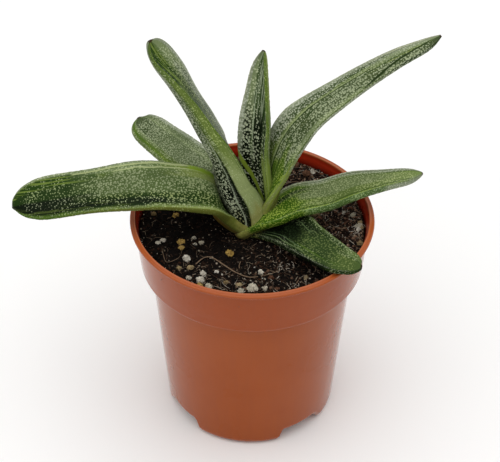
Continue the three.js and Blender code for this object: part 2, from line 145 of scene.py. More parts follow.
# Looks of the leaf skin: ground colour, colour of the dots, share covered by dots, streaks.
LOOKS = {
    "cream": ("#9b9f82", "#bcc1a6", 0.3, 0.0),
    "silver": ("#848d72", "#b6bca6", 0.36, 0.0),
    "sage": ("#75835a", "#b3bc94", 0.3, 0.1),
    "celery": ("#7e8c4c", "#a6b078", 0.16, 0.1),
    "pale celery": ("#909d66", "#b0b98c", 0.16, 0.1),
    "lime": ("#80943a", "#a9b664", 0.08, 0.2),
    "fresh": ("#586e27", "#a0b061", 0.16, 0.15),
    "grass": ("#466219", "#9aab58", 0.16, 0.2),
    "grass dots": ("#38580c", "#94a845", 0.32, 0.0),
    "moss": ("#51632f", "#9ea97c", 0.26, 0.1),
    "moss haze": ("#586a3c", "#96a173", 0.36, 0.0),
    "fern haze": ("#47602e", "#8da26c", 0.36, 0.05),
    "grey mist": ("#5d6a46", "#9fa984", 0.34, 0.0),
    "soft haze": ("#4d5d33", "#919b74", 0.36, 0.05),
    "leaf haze": ("#5a6c34", "#9daa6d", 0.34, 0.05),
    "celery haze": ("#73854b", "#aeb97e", 0.3, 0.05),
    "grass haze": ("#627336", "#96a562", 0.2, 0.1),
    "olive haze": ("#455728", "#76834b", 0.34, 0.1),
    "slate haze": ("#404d2d", "#a4ae8a", 0.42, 0.05),
    "moss mist": ("#657447", "#9faa7a", 0.34, 0.0),
    "olive": ("#5e6428", "#8f9a60", 0.1, 0.1),
    "tan": ("#6e5a24", "#8d9a68", 0.0, 0.1),
    "bottle": ("#182a0a", "#9fac80", 0.22, 0.2),
    "bottle dots": ("#22350e", "#929f66", 0.3, 0.0),
    "bottle spots": ("#1f330d", "#8f9e6a", 0.2, 0.0),
    "bottle haze": ("#384b20", "#99a475", 0.38, 0.0),
    "bottle mist": ("#2a3b19", "#667441", 0.3, 0.1),
    "ash haze": ("#414f30", "#adb499", 0.4, 0.0),
    "forest": ("#0d1906", "#98a47a", 0.16, 0.2),
    "forest dots": ("#13200a", "#9aa678", 0.28, 0.0),
    "forest spots": ("#0a1504", "#a4ad88", 0.14, 0.0),
    "forest haze": ("#29361c", "#98a286", 0.36, 0.0),
    "forest mist": ("#0c1407", "#586644", 0.32, 0.0),
    "shade": ("#050903", "#26331d", 0.24, 0.0),
    "night": ("#040902", "#acb696", 0.06, 0.0),
    "night dots": ("#040902", "#bfc8a6", 0.27, 0.0),
    "night bold": ("#060c04", "#b6bf9e", 0.4, 0.0),
    "lime streaks": ("#223a0a", "#9aa776", 0.12, 0.95),
    "dark streaks": ("#040a02", "#98a27c", 0.09, 0.35),
    "pale streaks": ("#41522e", "#b1bb95", 0.26, 0.9),
}

# Leaves. azimuth, foot, margins, keel and crown shape the section; stations are
# [x, y, z, half width, roll in degrees] of the middle line, foot to tip.
# ends: shares of the length where the foot's look starts to fade and is gone, and where the tip's
# look starts and is full. dots: millimetres between dots.
# bands: the look from each place round the section on, at the foot, in the blade and at the tip.
# Place 0-1 is the upper face from right to left, 1-2 the left margin, 2-3 the lower face and 3-4
# the right margin.
# slants: lines that run askew: length share and place at both ends, half width, colour.
LEAVES = [
    {
        "name": "leaf_centre",
        "azimuth": 90,
        "foot": 0.5,
        "margins": ((3, 5), (2.8, 4.5)),
        "keel": (4.5, 4.5, -0.1),
        "crown": -1.6,
        "stations": [
            (3, 1.5, 113.5, 6, -27), (3.5, 4.5, 123, 6.5, -38), (2, 6.5, 136, 7, -38),
            (0, 9, 150, 7.5, -33), (0.5, 12.5, 164.5, 7.5, -32), (1.5, 16.5, 179, 5.5, -35),
            (2.5, 20.5, 190, 3.5, -34), (4.5, 23.5, 198.5, 0.5, -33),
        ],
        "ends": (0.3, 0.5, 0.56, 0.78),
        "dots": 1.35,
        "streak": "#9ba688",
        "bands": [
            (0.0, "lime", "bottle", "lime streaks"),
            # From 0.15 to 0.86 lies the hollow upper face: its dark green is deepened to near black by
            # painted shade in the channel.
            (0.15, "forest dots", "night", "lime streaks"),
            (0.28, "night dots", "night dots", "pale streaks"),
            (0.52, "night dots", "pale streaks", "pale streaks"),
            (0.6, "night dots", "night bold", "sage"),
            (0.86, "night bold", "silver", "silver"),
            (1.0, "fresh", "silver", "cream"),
            (2.0, "forest dots", "forest haze", "moss"),
            (3.0, "celery", "sage", "silver"),
            (3.35, "lime", "sage", "celery"),
            (3.6, "lime", "fresh", "fresh"),
            (3.88, "fresh", "fresh", "moss"),
        ],
        "slants": [(0.14, 0.32, 0.41, 1.04, 0.08, "#90a63a")],
    },
    {
        "name": "leaf_upper_right",
        "azimuth": 24,
        "foot": 0.5,
        "margins": ((3.4, 4), (2.8, 2.8)),
        "keel": (1.5, 5.5, -0.3),
        "crown": 0.3,
        "stations": [
            (5, -2, 114, 4, -60), (8.5, 1.5, 122.5, 6, -50), (10, 5.5, 138.5, 8.5, 3),
            (13.5, 7, 152, 9.5, 18), (19.5, 8.5, 164, 10, 19), (27.5, 10.5, 172.5, 9.5, 9),
            (38.5, 15.5, 178.5, 8, 9), (53, 22, 185.5, 6.5, 9), (68, 28.5, 191.5, 5, 10),
            (81.5, 34.5, 195, 3, 15), (89, 37.5, 198.5, 0.5, 18),
        ],
        "ends": (0.24, 0.34, 0.66, 0.86),
        "dots": 1.05,
        "streak": "#88964c",
        "bands": [
            (0.0, "grass dots", "sage", "slate haze"),
            (0.1, "grass dots", "slate haze", "slate haze"),
            (0.2, "grass", "slate haze", "slate haze"),
            (0.42, "grass", "slate haze", "pale streaks"),
            (0.55, "grass", "slate haze", "sage"),
            (0.6, "fresh", "moss mist", "sage"),
            (0.67, "moss", "ash haze", "silver"),
            (0.88, "fresh", "silver", "cream"),
            (1.0, "celery", "cream", "silver"),
            (2.0, "olive", "forest haze", "forest haze"),
            (3.0, "lime", "silver", "silver"),
            (3.4, "celery", "silver", "ash haze"),
            (3.75, "lime", "moss", "forest haze"),
        ],
        "slants": [
            (0.66, -0.04, 0.95, 0.54, 0.05, "#22320f"),
            (0.22, 0.56, 0.72, 0.6, 0.014, "#2c3d1a"),
            (0.22, 0.6, 0.8, 0.64, 0.014, "#8a9766"),
            (0.2, 0.36, 0.5, 0.44, 0.012, "#2c3d1a"),
            (0.45, 0.46, 0.82, 0.5, 0.01, "#33451f"),
            (0.55, 0.8, 0.97, 0.86, 0.014, "#4a5a34"),
            (0.6, 0.7, 0.97, 0.76, 0.012, "#7e9150"),
        ],
    },
    {
        "name": "leaf_left",
        "azimuth": 180,
        "foot": 0.5,
        "margins": ((7, 3.3), (3, 3)),
        "keel": (1.5, 5.5, 0.35),
        "crown": 1,
        "stations": [
            (2, -1, 112, 6, 35), (-7.5, -1.5, 113.5, 7, 35), (-15, -1.5, 121, 8, 26),
            (-20.5, -2, 133, 13, -1), (-40, -4, 138.5, 12.5, -18), (-56.5, -4, 138.5, 12.5, -25),
            (-77.5, -4, 135, 11, -27), (-99.5, -4, 130.5, 10.5, -32), (-109, -4, 128, 8, -34),
            (-114, -4, 126, 4.5, -34), (-116.5, -4, 124, 0.5, -34),
        ],
        "ends": (0.28, 0.46, 0.6, 0.82),
        "dots": 1.15,
        "streak": "#687b34",
        "bands": [
            (0.0, "lime", "sage", "sage"),
            (0.05, "lime", "moss haze", "lime streaks"),
            (0.1, "lime", "sage", "lime streaks"),
            (0.14, "celery", "moss haze", "lime streaks"),
            (0.2, "celery", "soft haze", "lime streaks"),
            (0.3, "moss haze", "soft haze", "bottle spots"),
            (0.42, "bottle haze", "soft haze", "bottle spots"),
            (0.62, "bottle dots", "soft haze", "forest spots"),
            # From 0.7 to 0.95, along the front margin, the hollow upper face is deepened to near black by
            # painted shade in the channel.
            (0.7, "bottle dots", "bottle dots", "forest spots"),
            (0.8, "bottle dots", "forest dots", "dark streaks"),
            (0.86, "bottle dots", "forest", "dark streaks"),
            (0.92, "moss", "bottle", "dark streaks"),
            (0.95, "celery", "grass haze", "grass"),
            (1.12, "olive", "olive", "grass"),
            (1.5, "olive", "olive", "moss"),
            (2.0, "tan", "olive", "moss"),
            (2.4, "tan", "moss haze", "forest haze"),
            (3.0, "olive", "moss", "sage"),
        ],
        "slants": [
            (0.3, 0.02, 0.75, 0.07, 0.02, "#a6b07c"),
            (0.3, 0.1, 0.6, 0.16, 0.014, "#a6b07c"),
            (0.22, 0.03, 0.33, 0.05, 0.06, "#7d982c"),
        ],
    },
    {
        "name": "leaf_tall",
        "azimuth": 148,
        "foot": 1,
        "margins": ((14, 6), (3, 2.4)),
        "keel": (7, 7, 0.5),
        "crown": 0.5,
        "stations": [
            (-1.5, 5.8, 112, 11, 62), (-5, 6, 119, 11.5, 78), (-11, 7.8, 130.4, 12, 78),
            (-13.5, 12, 148, 12, 48), (-20.5, 17, 160, 11.5, 38), (-28.5, 21.5, 172, 10.5, 35),
            (-35.5, 24.5, 182.5, 10, 24), (-42.5, 28.5, 190, 8, 8), (-47, 30, 196, 4.5, -8),
            (-49, 29.5, 199.5, 0.5, -20),
        ],
        "ends": (0.28, 0.46, 0.74, 0.87),
        "dots": 1.1,
        "streak": "#6b7d38",
        "bands": [
            (0.0, "silver", "silver", "silver"),
            (0.14, "ash haze", "ash haze", "sage"),
            (0.5, "bottle haze", "bottle haze", "moss haze"),
            (0.64, "forest dots", "bottle dots", "lime streaks"),
            (0.86, "forest", "lime streaks", "lime streaks"),
            (1.0, "moss", "fresh", "fresh"),
            (1.2, "pale celery", "grass haze", "moss"),
            (1.6, "pale celery", "moss", "moss"),
            (1.82, "night", "bottle dots", "sage"),
            (1.95, "night", "moss", "sage"),
            (2.04, "night bold", "ash haze", "silver"),
            (3.0, "forest haze", "ash haze", "silver"),
        ],
        "slants": [
            (0.05, 1.93, 0.8, 1.9, 0.016, "#131c0b"),
            (0.05, 2.04, 0.5, 2.01, 0.009, "#8f9b80"),
            (0.42, 1.03, 0.95, 0.97, 0.02, "#26351a"),
            (0.3, 1.3, 0.8, 1.2, 0.012, "#4a5a2a"),
        ],
    },
    {
        "name": "leaf_right",
        "azimuth": 12,
        "foot": 0.5,
        "margins": ((3, 4), (2.8, 4.4)),
        "keel": (5, 5, -0.3),
        "crown": 0.4,
        "stations": [
            (-8.3, -7, 111.3, 2.5, -4), (2.7, -7.1, 118.5, 3.2, 0), (10.2, -4.8, 122.5, 6.5, 5),
            (21.5, 1, 126.5, 9.5, 4), (35.5, 4, 128, 9.5, 2), (49, 7, 131.5, 8.5, 2),
            (64.5, 10.5, 132.5, 6, 1), (76, 13.5, 132.5, 4, 4), (83.5, 15, 133, 0.5, 7),
        ],
        "ends": (0.32, 0.46, 0.68, 0.88),
        "dots": 0.95,
        "streak": "#748c38",
        "bands": [
            (0.0, "grass dots", "fresh", "sage"),
            (0.08, "grass dots", "leaf haze", "celery haze"),
            (0.3, "grass dots", "moss mist", "celery haze"),
            (0.64, "bottle dots", "moss mist", "pale streaks"),
            (0.76, "grass dots", "moss", "moss mist"),
            (0.8, "grass", "sage", "silver"),
            (0.88, "sage", "silver", "silver"),
            (1.0, "cream", "cream", "silver"),
            (2.0, "forest dots", "forest haze", "moss mist"),
            (2.9, "olive", "bottle dots", "moss mist"),
            (3.1, "grass dots", "fern haze", "silver"),
            (3.5, "grass dots", "fern haze", "silver"),
            (3.78, "grass dots", "fern haze", "sage"),
        ],
        "slants": [
            (0.2, 0.0, 0.9, 0.01, 0.02, "#7f9440"),
            (0.25, 0.06, 0.92, 0.08, 0.014, "#3c4e22"),
            (0.3, 0.93, 0.85, 0.93, 0.012, "#48582e"),
            (0.25, 3.9, 0.92, 3.92, 0.014, "#2f421c"),
        ],
    },
    {
        "name": "leaf_back_left",
        "azimuth": 134,
        "foot": 0.5,
        "margins": ((3, 3), (3, 3)),
        "keel": (5, 5, 0.2),
        "crown": 0.8,
        "stations": [
            (-3.5, 2.5, 111, 7, -2), (-11.5, 10.5, 118, 9, -8), (-23.5, 23.5, 125.5, 10.5, -13),
            (-37, 37.5, 127.5, 10, -16), (-47.5, 48.5, 128.5, 9.5, -11), (-53.5, 54, 130, 8.5, -13),
            (-57.5, 58.5, 131, 5.5, -19), (-59, 60, 132.5, 0.5, -25),
        ],
        "ends": (0.2, 0.36, 0.66, 0.92),
        "dots": 0.85,
        "streak": "#627627",
        "bands": [
            (0.0, "moss", "silver", "silver"),
            (0.08, "bottle haze", "grey mist", "grey mist"),
            (0.23, "moss", "sage", "sage"),
            (0.27, "bottle haze", "grey mist", "slate haze"),
            (0.78, "bottle haze", "moss", "sage"),
            (0.84, "moss", "moss", "moss mist"),
            (0.88, "bottle", "fresh", "grass"),
            (0.97, "moss", "moss", "moss mist"),
            (1.0, "moss", "moss", "moss mist"),
            (2.0, "forest dots", "forest haze", "forest haze"),
            (3.0, "moss", "silver", "silver"),
        ],
        "slants": [],
    },
    {
        "name": "leaf_lower_right",
        "azimuth": -30,
        "foot": 0.5,
        "margins": ((3, 2.5), (2.8, 2.8)),
        "keel": (4, 4, -0.2),
        "crown": 0.3,
        "stations": [
            (-2, -2, 110.5, 6, 2), (7.5, -3.5, 113.5, 8.5, 8), (18, -9, 117, 10.5, 12),
            (24, -18.5, 119.5, 10, 9), (31.5, -27.5, 120.5, 9.5, 6), (40, -36, 121, 8, 8),
            (46.5, -41, 122, 6, 9), (50, -43, 122.5, 3.5, 10), (51.5, -43.5, 123, 0.5, 11),
        ],
        "ends": (0.4, 0.62, 0.72, 0.92),
        "dots": 1.15,
        "streak": "#52672a",
        # The foot, lying in the shadow of leaf_right, and the front margin from 3.0 on are painted near
        # black in the forest, night, shade and forest mist looks: painted shade.
        "bands": [
            (0.0, "forest", "forest", "bottle mist"),
            (0.05, "night", "bottle mist", "olive haze"),
            (0.2, "shade", "lime streaks", "olive haze"),
            (0.26, "shade", "bottle mist", "olive haze"),
            (0.66, "forest mist", "bottle mist", "bottle haze"),
            (0.75, "forest mist", "bottle mist", "moss haze"),
            (0.87, "bottle", "bottle", "moss"),
            (0.97, "moss", "moss", "moss"),
            (2.0, "forest dots", "forest haze", "forest haze"),
            (3.0, "bottle", "shade", "bottle"),
            (3.6, "forest mist", "shade", "bottle"),
        ],
        "slants": [
            (0.12, 0.12, 0.6, 0.12, 0.012, "#5d6e48"),
            (0.12, 0.22, 0.55, 0.2, 0.01, "#46583a"),
            (0.16, 0.9, 0.6, 0.88, 0.012, "#16210c"),
            (0.14, 0.83, 0.55, 0.8, 0.014, "#16210c"),
            (0.15, 0.76, 0.5, 0.72, 0.01, "#4e5f3c"),
        ],
    },
]

# Leaf section, the same rules as the part's solids.
TIP_START = 0.93
TIP_CLOSE = 0.16
THINNEST = 0.5
MARGIN_BULGE = 0.28
KEEL_INSET = 0.97
MARGIN_TAPER = 0.25
KEEL_TAPER = 0.4
FOOT_CURVE = 1.5
THINNEST_KEEL = 0.3
FOOT_ROUND = 3.0  # the foot closes in a round end over this length, down to a share of FOOT_CLOSE
FOOT_CLOSE = 0.12
MARGIN_STEPS = 8
TEETH_RATE = 0.75  # teeth of the margins to a millimetre
TEETH_OUT = 0.14  # how far a tooth widens the blade, and TEETH_BULGE the margin's round edge
TEETH_BULGE = 0.1
SKIN_MAP = 100  # millimetres of skin to one unit of its UV map
BAND_BLUR = 0.008  # how far two bands run into each other, as a share of the way round

# Camera: a long lens 0.8 m from the middle of the soil, looking down 40 degrees. CAMERA_TURN is how
# far it is turned round X, Y and Z, in degrees.
CAMERA_PLACE = (-1.0507, -613.5237, 620.9051)
CAMERA_TURN = (50.0753, -0.4389, 0.3673)
CAMERA_LENS = 116.55
CAMERA_SENSOR = 36.0

# Floor: how far it reaches each way, its height just under the pot's feet, and its corners.
FLOOR_REACH = 4e4
FLOOR_HEIGHT = -0.2
FLOOR_CORNERS = ((-1, -1), (1, -1), (1, 1), (-1, 1))


# ---------------------------------------------------------------- shared helpers

# Node kinds used most, and settings that go with them.
MATH = "ShaderNodeMath"
VECTOR = "ShaderNodeVectorMath"
RANGE = "ShaderNodeMapRange"
NOISE = "ShaderNodeTexNoise"
CELLS = "ShaderNodeTexVoronoi"
RANDOM = "FunctionNodeRandomValue"
SMOOTH = {"interpolation_type": "SMOOTHSTEP"}
SOCKETS = {bool: "NodeSocketBool", int: "NodeSocketInt", float: "NodeSocketFloat"}


def linear(code):
    """An sRGB hex colour as the linear RGBA that a shader takes."""
    channels = [int(code[i : i + 2], 16) / 255 for i in (1, 3, 5)]
    return [c / 12.92 if c <= 0.04045 else ((c + 0.055) / 1.055) ** 2.4 for c in channels] + [1.0]


def features(size):
    """The scale of a noise or cell pattern whose features are this many millimetres apart."""
    return 1 / (size * MM)


def add(tree, kind, inputs=(), **settings):
    """Adds a node with its settings.

    inputs are values in the order of the node's sockets in use, or by those sockets' names. To link,
    a value is another node's output, or the node itself for its first output in use.
    """
    node = tree.nodes.new(kind)
    for name, value in settings.items():
        setattr(node, name, value)
    in_use = [socket for socket in node.inputs if socket.enabled]
    if isinstance(inputs, dict):
        named = {socket.name: socket for socket in in_use}
        pairs = [(named[name], value) for name, value in inputs.items()]
    else:
        pairs = zip(in_use, inputs)
    for socket, value in pairs:
        if isinstance(value, bpy.types.Node):
            value = next(output for output in value.outputs if output.enabled)
        if isinstance(value, bpy.types.NodeSocket):
            tree.links.new(value, socket)
        else:
            socket.default_value = value
    return node


def product(node, *factors):
    """Factors multiplied: a share where all of them hold."""
    result = factors[0]
    for factor in factors[1:]:
        result = node(MATH, (result, factor), operation="MULTIPLY")
    return result


def layered(node, ground, *layers):
    """Colours laid over a ground colour one after the other: (share, colour)."""
    for share, colour in layers:
        ground = node("ShaderNodeMix", (share, ground, colour), data_type="RGBA")
    return ground


def set_ramp(ramp, stops):
    """Gives a colour ramp node its stops: (position, hex colour or RGBA)."""
    elements = ramp.color_ramp.elements
    elements.remove(elements[-1])
    for number, (position, colour) in enumerate(stops):
        element = elements.new(position) if number else elements[0]
        element.position = position
        element.color = linear(colour) if isinstance(colour, str) else colour
    return ramp


def new_material(name):
    """An empty procedural material and the function that adds a node to it."""
    material = bpy.data.materials.new(name)
    material.use_nodes = True
    material.node_tree.nodes.clear()
    return material, partial(add, material.node_tree)


def end_material(node, look, relief=None, strength=0.0, depth=0.0):
    """Ends a material in its shader: what each input takes, and a relief some millimetres deep."""
    if relief:
        bump = {"Strength": strength, "Distance": depth * MM, "Height": relief}
        look["Normal"] = node("ShaderNodeBump", bump)
    node("ShaderNodeOutputMaterial", {"Surface": node("ShaderNodeBsdfPrincipled", look)})


def new_tree(name, inputs):
    """A geometry node tree with named inputs (name to default, None for a material).

    Returns the tree, the function that adds a node to it, and its inputs.
    """
    tree = bpy.data.node_groups.new(name, "GeometryNodeTree")
    tree.interface.new_socket("Geometry", in_out="INPUT", socket_type="NodeSocketGeometry")
    for label, default in inputs.items():
        kind = SOCKETS.get(type(default), "NodeSocketMaterial")
        socket = tree.interface.new_socket(label, in_out="INPUT", socket_type=kind)
        if default is not None:
            socket.default_value = default
    tree.interface.new_socket("Geometry", in_out="OUTPUT", socket_type="NodeSocketGeometry")
    return tree, partial(add, tree), add(tree, "NodeGroupInput").outputs


def end_tree(node, geometry, material):
    """Ends a geometry tree in real geometry with its material."""
    real = node("GeometryNodeRealizeInstances", {"Geometry": geometry})
    coated = node("GeometryNodeSetMaterial", {"Geometry": real, "Material": material})
    node("NodeGroupOutput", {"Geometry": coated})


def new_object(name, mesh):
    """Links a finished mesh as an object at the origin."""
    mesh.name = name
    piece = bpy.data.objects.new(name, mesh)
    bpy.context.scene.collection.objects.link(piece)
    return piece


def new_mesh(name, points, faces, smooth=True):
    """A mesh from points in millimetres."""
    mesh = bpy.data.meshes.new(name)
    mesh.from_pydata((np.asarray(points, float) * MM).tolist(), [], faces)
    mesh.polygons.foreach_set("use_smooth", [smooth] * len(mesh.polygons))
    mesh.update()
    return mesh


def settle(piece, slot, *nodes):
    """Ties a finished piece to the part's body and hides the nodes that it replaces; slot, its material
    slot, is not used.
    """
    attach(piece, "root")
    if nodes:
        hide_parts(*nodes)


def plain(piece, *helpers):
    """Turns a piece's modifiers into a plain mesh on a new object, and removes the old and helpers."""
    graph = bpy.context.evaluated_depsgraph_get()
    mesh = bpy.data.meshes.new_from_object(piece.evaluated_get(graph))
    name, old = piece.name, piece.data
    for spent in (piece, *helpers):
        bpy.data.objects.remove(spent)
    bpy.data.meshes.remove(old)
    return new_object(name, mesh)


def grown(tree, source, values):
    """Runs a geometry node tree on an object and returns the result as a plain object of its name.

    values maps the tree's input names to numbers or materials.
    """
    modifier = source.modifiers.new(tree.name, "NODES")
    modifier.node_group = tree
    for item in tree.interface.items_tree:
        if item.item_type == "SOCKET" and item.in_out == "INPUT" and item.name in values:
            modifier[item.identifier] = values[item.name]
    return plain(source)


# ---------------------------------------------------------------- pot


def body_radius(height):
    """Outer radius of the pot's tapering body, curved in towards the ground."""
    taper = BASE_RADIUS + (BODY_TOP_RADIUS - BASE_RADIUS) * height / SKIRT_FOOT
    return taper - 1.7 * max(0.0, 1 - height / 3.5) ** 1.8


def pot_profile():
    """Half section of the pot from under its middle, up the outside and down to its floor."""
    lean = (SKIRT_TOP_RADIUS - SKIRT_FOOT_RADIUS) / SKIRT_RISE
    # Underside, with close rows where the pockets begin, and the turn up to the wall.
    flat = (0, 8, 16, 24, 28, 29.6, 30.2, 30.6, 31, 31.4, 31.8, 32.4, 34, 36.5, 39, 40.6)
    rows = [(radius, 0.0) for radius in flat]
    rows += [(body_radius(0) - 0.25, 0.0), (body_radius(0.25), 0.2)]
    # Body, and the ledge that the skirt stands out by.
    heights = (0.5, 0.9, 1.4, 2, 2.6, 3.2, 4, 5, 7, 10, 15, 22, 30, 40, 50, 60, 70, 80, 87, 90, 90.7)
    rows += [(body_radius(z), z) for z in heights]
    rows += [(BODY_TOP_RADIUS + 0.25, SKIRT_FOOT), (51.8, SKIRT_FOOT), (53.6, 91.02), (54.6, 91.08)]
    rows += [(55.0, 91.2), (55.25, 91.45), (55.38, 91.85), (55.48, 92.6), (55.55, 94.2)]
    # Skirt, the rib on it and the rolled lip.
    heights = (97, 99, 102, 106, 110, 113)
    rows += [(SKIRT_FOOT_RADIUS + lean * (z - SKIRT_FOOT) - 0.02, z) for z in heights]
    rows += [(57.65, 115), (57.85, 115.5), (58.3, 115.65), (59.1, 115.65), (59.6, 115.8)]
    rows += [(59.9, 116.15), (LIP_RADIUS, 116.6), (59.95, 117.1), (59.7, 117.5), (59.3, 117.7)]
    rows += [(58.95, 117.65), (58.65, 117.6), (58.35, 117.75), (58.05, 117.95)]
    rows += [(57.75, POT_HEIGHT), (57.5, 117.9), (57.35, 117.6), (57.3, 117)]
    # Inner wall and floor.
    rows += [(57.1, 116.2), (56.7, 115.2), (56.2, 114.2), (55.95, 112), (55.6, 109), (54.7, 100)]
    rows += [(radius - WALL, SKIRT_FOOT + WALL) for radius in (SKIRT_FOOT_RADIUS, BODY_TOP_RADIUS)]
    rows += [(body_radius(z) - WALL, z) for z in (88, 60, 30, 12, 9, 6, 4)]
    rows += [(body_radius(3.5) - WALL - 0.4, 2.6)]
    return rows + [(radius, FLOOR) for radius in (41, 38, 34, 31, 30, 29, 28.4, 26, 14, 0)]


def turned_tree():
    """Turns a half section round the Z axis and raises pockets between the feet."""
    tree, node, given = new_tree(
        "Turned shell",
        {
            "Sides": 180,
            "Pocket Height": 0.0,
            "Pocket Radius": POCKET_INNER_RADIUS * MM,
            "First Pocket": FIRST_POCKET,
            "Pocket Angle": 30.0,
            "Upper End": SKIRT_FOOT * MM,
            "Taper": 0.0,
            "Material": None,
        },
    )
    section, sides, edge = given["Geometry"], given["Sides"], given["Pocket Radius"]
    rows = node("GeometryNodeAttributeDomainSize", {"Geometry": section})
    last_row = node(MATH, (rows, 1.0), operation="SUBTRACT")
    seam = node(MATH, (sides, 1.0), operation="ADD")
    grid = node("GeometryNodeMeshGrid", (last_row, sides, rows, seam))
    flat = node("ShaderNodeSeparateXYZ", (node("GeometryNodeInputPosition"),)).outputs
    from_start = node(MATH, (last_row, 0.5, flat["X"]), operation="MULTIPLY_ADD")
    row = node(MATH, (from_start,), operation="ROUND")
    column = node(MATH, (sides, 0.5, flat["Y"]), operation="MULTIPLY_ADD")
    turn = node(MATH, (column, sides), operation="DIVIDE")
    angle = product(node, turn, 2 * math.pi)
    sampled = node(
        "GeometryNodeSampleIndex",
        {"Geometry": section, "Value": node("GeometryNodeInputPosition"), "Index": row},
        data_type="FLOAT_VECTOR",
        domain="POINT",
    )
    place = node("ShaderNodeSeparateXYZ", (sampled,)).outputs
    radius, height = place["X"], place["Z"]

    # Degrees from the nearest pocket's middle. Every second pocket is turned the other way round, so
    # that the steep ends of the pockets meet at the front and back feet.
    from_first = node(MATH, (product(node, turn, 360.0), given["First Pocket"]), operation="SUBTRACT")
    quarters = node(MATH, (from_first, 90.0), operation="DIVIDE")
    nearest = node(MATH, (quarters,), operation="ROUND")
    offset = node(MATH, (nearest, -90.0, from_first), operation="MULTIPLY_ADD")
    odd = node(MATH, (nearest, 2.0, 0.0), operation="WRAP")
    turned_round = node(MATH, (odd, -2.0, 1.0), operation="MULTIPLY_ADD")
    side = product(node, offset, turned_round)
    half = product(node, given["Pocket Angle"], 0.5)
    steep_low = node(MATH, (-1.5, half), operation="SUBTRACT")
    steep_high = node(MATH, (1.8, half), operation="SUBTRACT")
    gentle_low = node(MATH, (half, 4.0), operation="SUBTRACT")
    gentle_high = node(MATH, (half, 8.0), operation="ADD")
    edge_low = node(MATH, (edge, 0.8 * MM), operation="SUBTRACT")
    edge_high = node(MATH, (edge, 0.8 * MM), operation="ADD")
    raised = product(
        node,
        node(RANGE, (side, steep_low, steep_high), **SMOOTH),
        node(RANGE, (side, gentle_low, gentle_high, 1.0, 0.0), **SMOOTH),
        node(RANGE, (radius, edge_low, edge_high), **SMOOTH),
        given["Pocket Height"],
    )
    # The lift fades out up the wall. A raised point moves out by the taper, so that it stays on the
    # wall.
    climbed = node(MATH, (height, given["Upper End"]), operation="DIVIDE")
    left = node(MATH, (1.0, climbed), operation="SUBTRACT")
    lift = product(node, raised, node(MATH, (left, 0.0), operation="MAXIMUM"))
    reach = node(MATH, (lift, given["Taper"], radius), operation="MULTIPLY_ADD")
    x, y = (product(node, reach, node(MATH, (angle,), operation=wave)) for wave in ("COSINE", "SINE"))
    z = node(MATH, (height, lift), operation="ADD")
    position = node("ShaderNodeCombineXYZ", (x, y, z))
    shell = node("GeometryNodeSetPosition", {"Geometry": grid, "Position": position})
    closed = node("GeometryNodeMergeByDistance", {"Geometry": shell, "Distance": 0.001 * MM})
    smooth = node("GeometryNodeSetShadeSmooth", {"Geometry": closed})
    end_tree(node, smooth, given["Material"])
    return tree


def polyline(name, rows):
    """A half section of (radius, height) rows as a chain of vertices in the XZ plane."""
    mesh = bpy.data.meshes.new(name)
    points = [(r * MM, 0.0, z * MM) for r, z in rows]
    mesh.from_pydata(points, [(i, i + 1) for i in range(len(points) - 1)], [])
    return new_object(name, mesh)


def outward(piece):
    """Turns the faces round if the closed mesh is inside out."""
    mesh = piece.data
    mesh.calc_loop_triangles()
    points = np.array([v.co for v in mesh.vertices])
    corners = points[np.array([t.vertices for t in mesh.loop_triangles])]
    volume = np.einsum("ij,ij->i", corners[:, 0], np.cross(corners[:, 1], corners[:, 2])).sum()
    if volume < 0:
        mesh.flip_normals()


